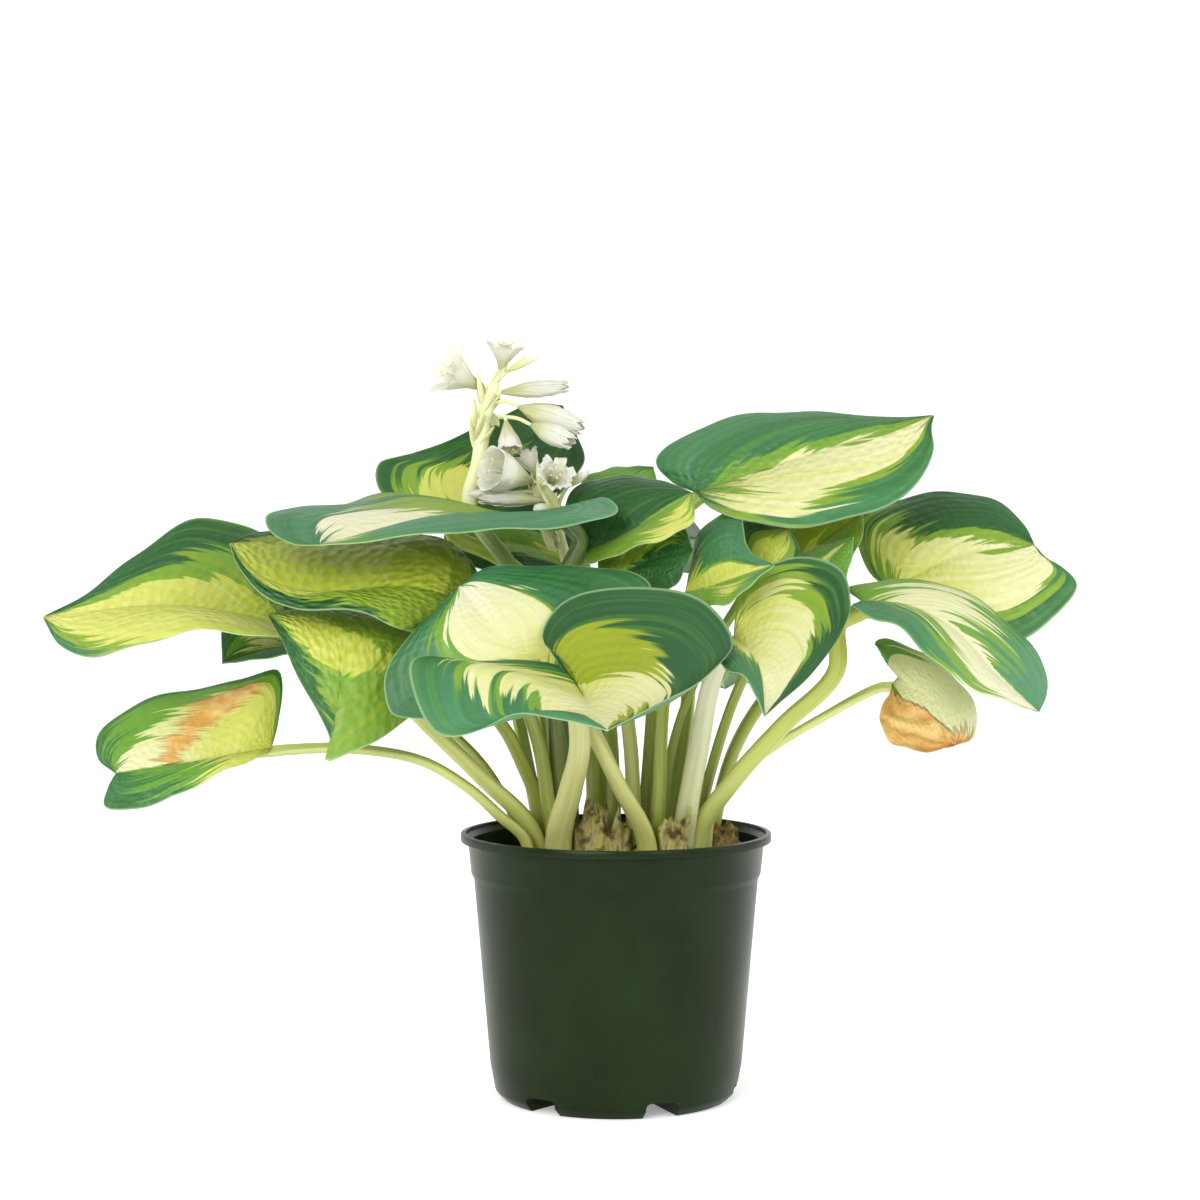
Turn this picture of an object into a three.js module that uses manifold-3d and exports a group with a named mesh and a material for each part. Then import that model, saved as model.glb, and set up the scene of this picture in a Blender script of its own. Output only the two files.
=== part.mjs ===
// A potted hosta with variegated leaves: a green nursery pot, its soil, a clump of leaves on stout stalks,
// two flower stems with their blooms, dry leaf bases at the crown and bits of bark on the soil.
// Millimetres, +Z up. The origin is the centre of the pot's underside, and -Y is the front.
import * as THREE from "three";
import { mergeVertices } from "three/addons/utils/BufferGeometryUtils.js";
import Module from "manifold-3d";

const wasm = await Module();
wasm.setup();

const RIM_RADIUS = 82.5; // the pot's outer radius at its rim
const POT_HEIGHT = 141;
const POT_SIDES = 32;
const FLOOR = 2.2;
const WALL = 1.8;
const CLEAR = 0.35; // gap between pieces that touch

// The pot's outside and inside, as radius and height from the middle of the floor to the rim.
const POT_OUTSIDE = [
  [0, 0], [60, 0], [64.4, 4.5], [67, 18.5], [75.3, 115], [77.1, 121.5], [78.6, 136.5], [RIM_RADIUS, 136.5],
  [RIM_RADIUS, POT_HEIGHT - 1], [RIM_RADIUS - 0.8, POT_HEIGHT], [0, POT_HEIGHT],
];
const POT_INSIDE = [
  [0, FLOOR], [61.5, FLOOR], [65.3, 18.5], [73.4, 115], [75.3, 122.5], [76.8, 136.5], [79.4, 139],
  [79.4, POT_HEIGHT + 1], [0, POT_HEIGHT + 1],
];

// Drain channels, cut from the wall inwards under the floor, with a slot up through each channel's roof.
const DRAINS = 6;
const DRAIN_TURN = 22; // degrees from the front to the first channel
const DRAIN_WIDTH = 19;
const DRAIN_HEIGHT = 8.6;
const DRAIN_CORNER = 2.5;
const DRAIN_START = 24; // radius of the channel's inner end
const SLOT = { length: 10, width: 6, radius: 50 };

// The soil: its height at the wall and at the crown, how far the crown's mound spreads, and a heap at
// the right.
const SOIL_EDGE = 116;
const SOIL_CROWN = 129;
const CROWN_SPREAD = [50, 38];
const HEAP = { x: 57, y: 16, height: 9, spread: 15 };

const STALK_FOOT = 104; // height of the stalks' lower ends, inside the soil
const BLADE_THICKNESS = 0.8;
const BLADE_GRID = [6, 9]; // strips from margin to margin, and rows from stalk to tip
const PLAIN_GRID = [4, 6]; // the same for a blade that hardly shows
const STALK_SIDES = 5;
const STALK_ROWS = 7;
const RIB_ROWS = 2;
const RIB_SHARE = 0.45; // how far the rib below the blade runs towards the tip

// Leaves. foot is where the stalk enters the soil, and via is a point that it passes. rib is the midrib from
// the stalk to the tip, and left and right are the margin's points round each half, seen from the stalk.
// swell bulges each half upwards between its rib and its margin.
const LEAVES = [
  {
    name: "leaf_far_left",
    radius: [5.2, 7],
    foot: [-41, -3],
    via: [[-42, -7, 142], [-70, -9, 172], [-95, -8, 196], [-138, -8, 237]],
    rib: [[-175, -8, 253], [-237, -14, 262], [-300, -20, 256]],
    left: [[-162, -30, 245], [-187, -56, 249], [-214, -62, 251], [-239, -58, 245], [-268, -48, 237],
      [-289, -32, 242]],
    right: [[-174, 22, 275], [-192, 40, 298], [-225, 32, 307], [-256, 5, 287], [-280, -10, 267]],
    swell: [4, 3],
  },
  {
    name: "leaf_left_small",
    radius: [2.8, 4],
    foot: [-36, 27],
    via: [[-67, 22, 170], [-96, 26, 199]],
    rib: [[-152, 28, 241], [-180, 20, 237], [-210, 8, 230]],
    left: [[-147, 2, 226], [-172, -6, 235], [-194, -2, 232]],
    right: [[-148, 48, 259], [-179, 54, 270], [-205, 46, 267], [-212, 26, 251]],
    grid: PLAIN_GRID,
    swell: [3, 3],
  },
  {
    name: "leaf_low_left",
    radius: [3.3, 5],
    foot: [-46, -17],
    via: [[-46, -18, 138], [-61, -19, 153], [-78, -20, 168], [-103, -21, 182], [-142, -22, 188]],
    rib: [[-180, -25, 188], [-221, -38, 182], [-259, -40, 176]],
    left: [[-186, -36, 184], [-202, -46, 178], [-226, -55, 166], [-251, -58, 159], [-263, -52, 161],
      [-262, -46, 169]],
    right: [[-178, -12, 200], [-179, 0, 227], [-200, 6, 221], [-222, 6, 217], [-252, -4, 210],
      [-271, -18, 195], [-270, -30, 183]],
    swell: [3, 3],
  },
  {
    name: "leaf_left",
    radius: [5, 5.8],
    foot: [-26, -8],
    via: [[-34, -4, 153], [-40, -4, 190], [-58, -14, 238]],
    rib: [[-81, -22, 266], [-112, -40, 273], [-152, -52, 270], [-181, -52, 278], [-199, -42, 295]],
    left: [[-81, -34, 254], [-96, -40, 248], [-113, -56, 253], [-138, -70, 263], [-160, -74, 262],
      [-179, -68, 270], [-193, -54, 283]],
    right: [[-73, 0, 277], [-89, 20, 294], [-133, 28, 301], [-168, 10, 301], [-190, -22, 300]],
    swell: [4, 4],
  },
  {
    name: "leaf_upper_left",
    radius: [4.8, 5.5],
    foot: [-22, 6],
    via: [[-30, 4, 163], [-32, 2, 200], [-36, 2, 259]],
    rib: [[-26, 0, 306], [-87, -24, 310], [-149, -72, 295]],
    left: [[-19, 10, 314], [-6, -2, 318], [1, -16, 313], [-5, -32, 308], [-38, -50, 303], [-71, -60, 302],
      [-109, -70, 299], [-132, -76, 296]],
    right: [[-29, 14, 307], [-51, 20, 307], [-73, 24, 309], [-97, 26, 317], [-125, 18, 320],
      [-146, 2, 315], [-165, -18, 313], [-180, -40, 310], [-176, -58, 301], [-162, -70, 295]],
    swell: [2, 3],
  },
  {
    name: "leaf_top_back",
    radius: [4.6, 5.5],
    foot: [-9, 8],
    via: [[-13, 18, 188], [-29, 40, 252], [-63, 50, 285]],
    rib: [[-89, 45, 310], [-61, 62, 338], [-29, 75, 369]],
    left: [[-114, 40, 312], [-129, 40, 323], [-129, 45, 337], [-111, 54, 342], [-91, 62, 350],
      [-67, 70, 361], [-46, 75, 370]],
    right: [[-52, 42, 306], [-25, 45, 326], [-17, 52, 339], [-21, 60, 352], [-26, 68, 362]],
    swell: [-3, -3],
  },
  {
    name: "leaf_hanging_left",
    radius: [4.8, 6],
    foot: [-36, 13],
    via: [[-41, 8, 157], [-48, 4, 176], [-60, -6, 200]],
    rib: [[-96, -30, 236], [-137, -50, 249], [-179, -50, 259]],
    left: [[-91, -38, 219], [-105, -50, 207], [-122, -64, 195], [-137, -72, 189], [-147, -74, 186],
      [-145, -72, 195], [-151, -68, 209], [-163, -62, 229], [-171, -56, 246]],
    right: [[-88, -14, 244], [-109, -6, 255], [-145, -14, 262], [-166, -34, 261]],
    swell: [4, 3],
  },
  {
    name: "leaf_front_back",
    radius: [5.2, 8.5],
    foot: [17, -27],
    via: [[17, -30, 141], [3, -36, 170], [-10, -42, 196]],
    rib: [[-31, -46, 228], [-57, -60, 246], [-81, -46, 273]],
    left: [[-49, -56, 213], [-85, -64, 207], [-105, -68, 207], [-114, -68, 209], [-118, -66, 221],
      [-117, -64, 231], [-105, -58, 249], [-90, -50, 264]],
    right: [[-8, -34, 234], [15, -24, 259], [18, -20, 272], [7, -19, 280], [-14, -20, 282],
      [-40, -26, 283], [-68, -38, 282]],
    swell: [5, 5],
  },
  {
    name: "leaf_front",
    radius: [5.4, 8.6],
    foot: [-30, -27],
    via: [[-30, -32, 143], [-24, -40, 167], [-19, -54, 192]],
    rib: [[-19, -75, 222], [-13, -118, 217], [-5, -160, 209]],
    left: [[-32, -68, 239], [-38, -60, 249], [-27, -50, 265], [7, -45, 273], [44, -62, 266],
      [58, -88, 247], [42, -120, 231], [15, -146, 218]],
    right: [[-29, -68, 233], [-44, -68, 236], [-81, -78, 237], [-102, -90, 238], [-101, -104, 224],
      [-88, -122, 204], [-67, -134, 207], [-49, -142, 215], [-28, -154, 214]],
    swell: [-8, 5],
  },
  {
    name: "leaf_inner_mid",
    radius: [3.8, 4.6],
    foot: [-4, -1],
    via: [[-4, 8, 189], [-14, 12, 253]],
    rib: [[-18, 5, 289], [13, -6, 304], [40, -8, 321]],
    left: [[-28, 22, 304], [-24, 32, 321], [-7, 34, 329], [16, 26, 329], [31, 8, 325]],
    right: [[-13, -12, 284], [8, -26, 292], [29, -28, 299], [40, -22, 306]],
    swell: [5, 2],
  },
  {
    name: "leaf_inner_low",
    radius: [4.6, 5.4],
    foot: [8, -10],
    via: [[8, -10, 159], [6, -10, 193], [-2, -8, 238]],
    rib: [[-8, -1, 272], [15, -6, 284], [40, -23, 291]],
    left: [[-9, 9, 287], [3, 13, 299], [19, 9, 307], [34, -6, 306]],
    right: [[-2, -7, 264], [14, -9, 266], [31, -20, 273]],
    grid: PLAIN_GRID,
    swell: [3, 2],
  },
  {
    name: "leaf_top_right",
    radius: [4.8, 5.5],
    foot: [10, 11],
    via: [[18, 20, 199], [21, 24, 263]],
    rib: [[43, 25, 321], [99, 18, 340], [169, 8, 362]],
    left: [[30, 42, 327], [22, 50, 338], [38, 58, 352], [74, 62, 364], [120, 50, 364], [151, 30, 361]],
    right: [[50, 2, 313], [66, -14, 307], [90, -24, 303], [126, -26, 309], [154, -18, 322], [167, -6, 343],
      [167, 2, 355]],
    swell: [4, 4],
  },
  {
    name: "leaf_right",
    radius: [4.6, 5.5],
    foot: [44, 22],
    via: [[65, 28, 187], [108, 32, 241]],
    rib: [[148, 28, 269], [186, 30, 287], [225, 22, 293]],
    left: [[138, 45, 278], [133, 60, 305], [157, 66, 317], [182, 64, 321], [207, 52, 317], [221, 36, 304]],
    right: [[147, 14, 256], [167, 4, 243], [196, 0, 239], [217, 0, 244], [236, 4, 258], [246, 10, 272],
      [240, 15, 280], [231, 19, 286]],
    swell: [5, 5],
  },
  {
    name: "leaf_right_drooping",
    radius: [6.4, 6.8],
    foot: [41, -6],
    via: [[43, -8, 143], [61, -12, 171], [87, -18, 201], [113, -26, 229]],
    rib: [[127, -32, 265], [152, -40, 263], [173, -50, 251], [194, -62, 228], [214, -68, 210]],
    left: [[121, -18, 271], [149, -8, 275], [176, -4, 272], [197, -8, 260], [215, -18, 244],
      [223, -34, 227], [220, -52, 217]],
    right: [[121, -48, 263], [129, -64, 258], [141, -76, 254], [159, -88, 237], [176, -90, 224],
      [194, -84, 217]],
    swell: [3, 3],
  },
  {
    name: "leaf_right_front",
    radius: [5.6, 6.5],
    foot: [31, -17],
    via: [[36, -18, 147], [43, -22, 189], [49, -34, 224]],
    rib: [[60, -52, 247], [71, -88, 236], [72, -118, 212]],
    left: [[63, -38, 266], [73, -28, 279], [95, -25, 288], [116, -34, 281], [120, -50, 266],
      [114, -70, 251], [95, -92, 229], [80, -108, 218]],
    right: [[54, -58, 246], [48, -78, 240], [53, -98, 235], [64, -112, 229]],
    swell: [-6, 3],
  },
  {
    name: "leaf_folded",
    radius: [4, 5],
    foot: [19, -12],
    via: [[22, -13, 164], [24, -15, 210]],
    rib: [[36, -22, 269], [58, -38, 275], [81, -48, 284]],
    left: [[39, -8, 280], [44, 0, 299], [56, 0, 310], [65, -6, 310], [66, -16, 303], [70, -34, 290]],
    right: [[43, -42, 263], [59, -58, 266], [69, -56, 275]],
    swell: [3, 2],
  },
  {
    name: "leaf_young_right",
    radius: [3, 4],
    foot: [21, 6],
    via: [[30, 8, 189], [47, 8, 232]],
    rib: [[68, 2, 270], [79, 0, 288], [91, -6, 302]],
    left: [[64, 15, 285], [68, 22, 306], [81, 10, 304]],
    right: [[78, -8, 267], [94, -6, 278], [97, -4, 291]],
    grid: PLAIN_GRID,
    swell: [2, 2],
  },
  {
    name: "leaf_young_outer",
    radius: [3.8, 4.6],
    foot: [34, 9],
    via: [[50, 12, 173], [64, 8, 216]],
    rib: [[92, 0, 269], [110, -4, 285], [125, -8, 298]],
    left: [[93, 16, 284], [106, 14, 291], [118, 4, 295]],
    right: [[99, -10, 265], [116, -16, 270], [123, -14, 284]],
    grid: PLAIN_GRID,
    swell: [2, 2],
  },
  {
    name: "leaf_low_right",
    radius: [3.1, 4.5],
    foot: [46, 8],
    via: [[52, 5, 157], [76, -2, 182], [108, -10, 203]],
    rib: [[145, -18, 221], [161, -30, 216], [175, -44, 191]],
    left: [[151, -10, 229], [137, 0, 241], [143, 4, 243], [161, -6, 237], [175, -14, 227], [187, -26, 210],
      [185, -36, 194]],
    right: [[141, -28, 213], [136, -38, 205], [141, -48, 193], [158, -52, 188]],
    swell: [3, -3],
  },
  {
    name: "leaf_back_sliver",
    radius: [3.2, 4],
    foot: [0, 20],
    via: [[-3, 32, 198], [-13, 44, 262]],
    rib: [[-17, 48, 310], [2, 58, 322], [21, 62, 335]],
    left: [[-22, 62, 321], [-13, 70, 331], [4, 72, 335]],
    right: [[-8, 36, 305], [11, 42, 312], [22, 50, 324]],
    grid: PLAIN_GRID,
    swell: [3, 3],
  },
  {
    name: "leaf_right_inner",
    radius: [3.4, 4.5],
    foot: [31, 17],
    via: [[45, 24, 198], [64, 28, 236]],
    rib: [[86, 28, 269], [108, 30, 291], [133, 26, 310]],
    left: [[81, 44, 284], [90, 52, 307], [117, 44, 317]],
    right: [[99, 18, 269], [122, 14, 281], [132, 18, 298]],
    grid: PLAIN_GRID,
    swell: [3, 3],
  },
  {
    name: "leaf_inner_back",
    radius: [4, 5],
    foot: [-22, 33],
    via: [[-26, 50, 174], [-24, 70, 234]],
    rib: [[-18, 80, 278], [-48, 78, 291], [-95, 68, 296]],
    left: [[-14, 68, 267], [-41, 61, 273], [-78, 57, 280]],
    right: [[-10, 92, 287], [-31, 99, 301], [-64, 94, 309], [-92, 80, 307]],
    grid: PLAIN_GRID,
    swell: [3, 3],
  },
];

// Leaves at the back, which the front ones hide: the same forms from their two ends, their width and the
// drop of their margins.
const BACK_LEAVES = [
  { name: "leaf_back_left", radius: [3.8, 4.8], foot: [-34, 40], via: [[-52, 62, 190]],
    navel: [-72, 76, 262], tip: [-152, 140, 236], width: 92, drop: 14 },
  { name: "leaf_back", radius: [4, 4.8], foot: [-7, 37], via: [[-4, 64, 210]],
    navel: [4, 112, 312], tip: [-14, 204, 290], width: 104, drop: 16 },
  { name: "leaf_back_right", radius: [4, 4.8], foot: [22, 31], via: [[38, 55, 190]],
    navel: [52, 88, 294], tip: [118, 166, 268], width: 104, drop: 14 },
  { name: "leaf_back_low_left", radius: [3.8, 4.6], foot: [-20, 47], via: [[-34, 68, 170]],
    navel: [-48, 92, 216], tip: [-98, 172, 192], width: 86, drop: 12 },
  { name: "leaf_back_low_right", radius: [3.8, 4.6], foot: [8, 34], via: [[20, 62, 170]],
    navel: [34, 92, 226], tip: [66, 180, 204], width: 88, drop: 12 },
];
// A half margin of such a leaf: how far along the blade and how far out each point lies, as shares.
const HALF_MARGIN = [[-0.14, 0.36], [-0.06, 0.78], [0.2, 1], [0.5, 0.86], [0.8, 0.42]];

// Flower stems, from the soil upwards, and the blooms and buds that they carry. root is where a bloom's own
// stalk leaves the stem, base is where its flower starts, and mouth is the middle of its open end.
const STEMS = [
  { name: "flower_stem_tall", radius: [3.3, 4.8], foot: [-23, 19],
    path: [[-27, 31, 187], [-38, 33, 235], [-56, 31, 279], [-79, 34, 313], [-74, 34, 338], [-71, 34, 360],
      [-68, 34, 373], [-64, 34, 383]] },
  { name: "flower_stem_low", radius: [2.4, 3.6], foot: [-12, 22],
    path: [[-14, 34, 197], [-19, 42, 246], [-27, 38, 284], [-31, 32, 301], [-32, 30, 314], [-35, 28, 321]] },
];
const BLOOMS = [
  { name: "bloom_star", stem: 0, form: "open", via: [[-68, 34, 374]], base: [-72, 32, 377],
    mouth: [-94, 20, 389], width: 32 },
  { name: "bloom_top", stem: 0, form: "open", via: [[-64, 34, 382]], base: [-62, 33, 386],
    mouth: [-59, 31, 403], width: 24 },
  { name: "bloom_right", stem: 0, form: "closed", via: [[-68, 34, 372]], base: [-61, 30, 375],
    mouth: [-24, 24, 378], width: 9 },
  { name: "bloom_right_low", stem: 0, form: "closed", via: [[-68, 34, 369], [-59, 31, 370]],
    base: [-52, 28, 367], mouth: [-17, 20, 355], width: 14 },
  { name: "bloom_nodding", stem: 0, form: "closed", via: [[-71, 34, 357], [-65, 30, 361], [-54, 25, 361]],
    base: [-45, 16, 357], mouth: [-22, 5, 347], width: 12 },
  { name: "bloom_bell", stem: 0, form: "bell", via: [[-65, 30, 361], [-60, 27, 362]], base: [-59, 25, 359],
    mouth: [-56, 19, 341], width: 14 },
  { name: "bloom_ruffled", stem: 1, form: "open", via: [[-34, 28, 319]], base: [-36, 24, 324],
    mouth: [-31, 8, 333], width: 22 },
  { name: "bloom_left", stem: 1, form: "bell", via: [[-34, 29, 319], [-40, 25, 325]], base: [-45, 21, 327],
    mouth: [-70, 2, 335], width: 25 },
  { name: "bloom_back", stem: 1, form: "open", via: [[-35, 28, 319]], base: [-40, 31, 327],
    mouth: [-51, 33, 345], width: 17 },
  { name: "bloom_left_low", stem: 1, form: "closed", via: [[-33, 29, 314]], base: [-40, 20, 317],
    mouth: [-74, 8, 318], width: 8 },
];
// A bloom's own radius, as shares of half its width: at its lower and upper waist, at its petals' ends, and
// in the notches between them.
const BLOOM_FORMS = {
  open: { low: 0.25, high: 0.5, petal: 1, notch: 0.6 },
  bell: { low: 0.5, high: 0.8, petal: 1, notch: 0.85 },
  closed: { low: 0.85, high: 1, petal: 0.6, notch: 0.5 },
};
const BUDS = [
  { name: "bud_upper", stem: 0, via: [[-64, 34, 381]], base: [-59, 31, 386],
    mouth: [-40, 28, 396], width: 5 },
  { name: "bud_left", stem: 1, via: [[-34, 29, 317], [-43, 25, 321]], base: [-56, 22, 321],
    mouth: [-79, 14, 320], width: 6 },
  { name: "bud_front", stem: 1, via: [[-32, 30, 311]], base: [-35, 22, 313],
    mouth: [-44, 10, 312], width: 6 },
  { name: "bud_right", stem: 1, via: [[-32, 30, 312], [-29, 27, 319]], base: [-26, 25, 324],
    mouth: [-14, 21, 333], width: 5 },
];
const PEDICEL_RADIUS = 1;
const PEDICEL_GAP = 0.6; // from the end of a bloom's own stalk to its flower
const PETAL_POINTS = 12; // six petals' ends and the notches between them
const PETAL_THICKNESS = 0.7;
const LOW_SHARE = 0.32; // how far along the flower its waists and the notches between its petals lie
const HIGH_SHARE = 0.56;
const NOTCH_SHARE = 0.74;

// Dry leaf bases that stand at the crown, and bits of bark on the soil.
const SHEATHS = [
  { name: "dry_base_left", foot: [-13, -21, 117], top: [-11, -20, 172], width: 15 },
  { name: "dry_base_middle", foot: [0, -24, 117], top: [4, -21, 158], width: 13 },
  { name: "dry_base_right", foot: [29, -30, 117], top: [33, -31, 163], width: 13 },
];
const SHEATH_THICKNESS = 1.4;
const CHIPS = [
  { name: "bark_chip_large", place: [58, 14, 131], size: [10, 6.5, 14], turn: 20 },
  { name: "bark_chip_small", place: [63, -4, 124], size: [9, 6, 5], turn: -30 },
];

const point = (x, y, z) => new THREE.Vector3(x, y, z);
const smooth = (points) => new THREE.CatmullRomCurve3(points, false, "centripetal");

// The leaf's curves: its midrib, and its margin on the left (side 1) and the right (side -1).
function curvesOf(leaf) {
  const ribPoints = leaf.rib.map((place) => point(...place));
  const navel = ribPoints[0];
  const tip = ribPoints.at(-1);
  const around = (places) => smooth([navel, ...places.map((place) => point(...place)), tip]);
  return { rib: smooth(ribPoints), left: around(leaf.left), right: around(leaf.right) };
}

// A point of the blade's middle surface: u runs from -1 at the right margin to 1 at the left, and v from the
// navel to the tip.
function bladePoint(curves, u, v) {
  const off = Math.abs(u);
  const edge = u < 0 ? curves.right : curves.left;
  const along = THREE.MathUtils.clamp(v, 0, 1);
  return curves.rib.getPointAt(along).lerp(edge.getPointAt(along), off);
}

// The upward direction at a place on the blade, from the way that the surface runs there.
function bladeNormal(curves, u, v) {
  const step = 0.01;
  const [u0, v0] = [THREE.MathUtils.clamp(u, step - 1, 1 - step), THREE.MathUtils.clamp(v, 0.03, 0.97)];
  const across = bladePoint(curves, u0 + step, v0).sub(bladePoint(curves, u0 - step, v0));
  const along = bladePoint(curves, u0, v0 + step).sub(bladePoint(curves, u0, v0 - step));
  return along.cross(across).normalize();
}

// The blade's place at u and v, with its swell and with shift raised from the middle surface.
function raised(leaf, curves, u, v, shift) {
  const off = Math.abs(u);
  const swell = leaf.swell[u < 0 ? 1 : 0] * 4 * off * (1 - off) * Math.sin(Math.PI * v);
  const normal = bladeNormal(curves, u, v);
  return bladePoint(curves, u, v).addScaledVector(normal, swell + shift);
}

function geometryOf(points, triangles) {
  const geometry = new THREE.BufferGeometry().setFromPoints(points);
  geometry.setIndex(triangles.flat());
  return geometry;
}

// A closed thin blade: two faces with the same triangles, joined round the margin.
function bladeGeometry(leaf, curves) {
  const [strips, rows] = leaf.grid ?? BLADE_GRID;
  const points = [];
  const triangles = [];
  const addFace = (shift) => {
    const face = [];
    for (let row = 0; row <= rows; row++) {
      const pointed = row === 0 || row === rows;
      const line = [];
      for (let strip = 0; strip <= strips; strip++) {
        const u = pointed ? 0 : (2 * strip) / strips - 1;
        if (!pointed || strip === 0) points.push(raised(leaf, curves, u, row / rows, shift));
        line.push(points.length - 1);
      }
      face.push(line);
    }
    return face;
  };
  const top = addFace(BLADE_THICKNESS / 2);
  const under = addFace(-BLADE_THICKNESS / 2);
  const addQuad = (a, b, c, d) => {
    for (const corners of [[a, b, c], [c, d, a]]) {
      if (new Set(corners).size === 3) triangles.push(corners);
    }
  };
  for (let row = 0; row < rows; row++) {
    const next = row + 1;
    for (let strip = 0; strip < strips; strip++) {
      const far = strip + 1;
      addQuad(top[row][strip], top[next][strip], top[next][far], top[row][far]);
      addQuad(under[row][strip], under[row][far], under[next][far], under[next][strip]);
    }
    const last = strips;
    addQuad(top[row][0], under[row][0], under[next][0], top[next][0]);
    addQuad(top[next][last], under[next][last], under[row][last], top[row][last]);
  }
  return geometryOf(points, triangles);
}

// A closed solid through rings of points, with flat ends. From the ring numbered back on, its faces fold
// along their other diagonals, so that an inner wall folds as the outer one does.
function loftGeometry(rings, back = rings.length) {
  const sides = rings[0].length;
  const triangles = [];
  for (let ring = 0; ring < rings.length - 1; ring++) {
    for (let side = 0; side < sides; side++) {
      const a = ring * sides + side;
      const b = ring * sides + ((side + 1) % sides);
      if (ring < back) triangles.push([a, b, b + sides], [b + sides, a + sides, a]);
      else triangles.push([a, b, a + sides], [b, b + sides, a + sides]);
    }
  }
  const last = (rings.length - 1) * sides;
  for (let side = 1; side < sides - 1; side++) {
    triangles.push([side + 1, side, 0], [last, last + side, last + side + 1]);
  }
  return geometryOf(rings.flat(), triangles);
}

// A stalk's section: round below, flatter on the side towards the crown.
function stalkRing(centre, left, up, radius) {
  return Array.from({ length: STALK_SIDES }, (_, side) => {
    const angle = (2 * Math.PI * side) / STALK_SIDES;
    const flat = Math.sin(angle) > 0.1 ? 0.6 : 1;
    return centre
      .clone()
      .addScaledVector(left, Math.cos(angle) * radius)
      .addScaledVector(up, Math.sin(angle) * radius * flat);
  });
}

// The stalk, from the soil to the navel and on under the midrib. spare widens it, for cutting its hole.
function stalkGeometry(leaf, curves, spare = 0) {
  const foot = point(...leaf.foot, STALK_FOOT - spare);
  const forward = curves.rib.getTangentAt(0);
  const outward = curves.rib.getPoint(1).sub(foot).setZ(0).normalize();
  const across = point(-outward.y, outward.x, 0);
  const under = (v, thin) => {
    const up = bladeNormal(curves, 0.3, v).add(bladeNormal(curves, -0.3, v)).normalize();
    return curves.rib.getPointAt(v).addScaledVector(up, -0.6 * thin);
  };
  const [topRadius, footRadius] = leaf.radius;
  const joint = under(0, topRadius);
  const via = leaf.via.map((place) => point(...place));
  const arrival = via.at(-1).clone().sub(joint).normalize().sub(forward).normalize();
  const approach = joint.clone().addScaledVector(arrival, 2.5 * topRadius);
  const path = smooth([foot, ...via, approach, joint]);
  const rings = [];
  const addRing = (centre, direction, sideways, radius) => {
    const left = sideways.clone().addScaledVector(direction, -sideways.dot(direction)).normalize();
    rings.push(stalkRing(centre, left, direction.clone().cross(left), radius));
  };
  const bladeLeft = (v) => bladePoint(curves, 0.3, v).sub(bladePoint(curves, -0.3, v)).normalize();
  const startLeft = bladeLeft(0.15);
  for (let row = 0; row <= STALK_ROWS; row++) {
    const s = row / STALK_ROWS;
    const radius = THREE.MathUtils.lerp(topRadius, footRadius, (1 - s) ** 2);
    const sideways = across.clone().lerp(startLeft, s ** 3);
    addRing(path.getPointAt(s), path.getTangentAt(s), sideways, radius + spare);
  }
  for (let row = 1; row <= RIB_ROWS && !spare; row++) {
    const v = (RIB_SHARE * row) / RIB_ROWS;
    const thin = THREE.MathUtils.lerp(topRadius, 0.8, row / RIB_ROWS);
    addRing(under(v, thin), curves.rib.getTangentAt(v), bladeLeft(v), thin);
  }
  return loftGeometry(rings);
}

// The closed mesh as a solid that can be joined and cut, and back.
function solidOf(geometry) {
  const bare = geometry.clone();
  bare.deleteAttribute("normal");
  bare.deleteAttribute("uv");
  const merged = mergeVertices(bare, 1e-4);
  return new wasm.Manifold(
    new wasm.Mesh({
      numProp: 3,
      vertProperties: new Float32Array(merged.attributes.position.array),
      triVerts: new Uint32Array(merged.index.array),
    }),
  );
}

function geometryFrom(solid) {
  const mesh = solid.getMesh();
  const geometry = new THREE.BufferGeometry();
  geometry.setAttribute("position", new THREE.BufferAttribute(new Float32Array(mesh.vertProperties), 3));
  geometry.setIndex(new THREE.BufferAttribute(new Uint32Array(mesh.triVerts), 1));
  return geometry;
}

// A leaf record from the short form that the back leaves have.
function plainLeaf(short) {
  const navel = point(...short.navel);
  const tip = point(...short.tip);
  const along = tip.clone().sub(navel);
  const left = point(-along.y, along.x, 0).setLength(short.width / 2);
  const sideOf = (side) =>
    HALF_MARGIN.map(([share, out]) => {
      const place = navel.clone().addScaledVector(along, share).addScaledVector(left, side * out);
      return place.add(point(0, 0, 6 * share - short.drop * out ** 2)).toArray();
    });
  const middle = navel.clone().lerp(tip, 0.5).add(point(0, 0, 7));
  return {
    ...short,
    grid: PLAIN_GRID,
    rib: [short.navel, middle.toArray(), short.tip],
    left: sideOf(1),
    right: sideOf(-1),
    swell: [4, 4],
  };
}

// Two directions square to an axis.
function squareTo(axis) {
  const helper = Math.abs(axis.z) > 0.8 ? point(1, 0, 0) : point(0, 0, 1);
  const across = helper.clone().cross(axis).normalize();
  return [across, axis.clone().cross(across)];
}

// A round tube along a smooth path that thins or thickens from its first end to its last.
function tubeGeometry(places, firstRadius, lastRadius, rows, sides) {
  const path = smooth(places);
  let [across] = squareTo(path.getTangentAt(0));
  const rings = [];
  for (let row = 0; row <= rows; row++) {
    const share = row / rows;
    const direction = path.getTangentAt(share);
    across = across.addScaledVector(direction, -across.dot(direction)).normalize();
    const other = direction.clone().cross(across);
    const radius = THREE.MathUtils.lerp(firstRadius, lastRadius, share);
    const centre = path.getPointAt(share);
    rings.push(ringOf(centre, across, other, sides, () => radius));
  }
  return loftGeometry(rings);
}

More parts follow.
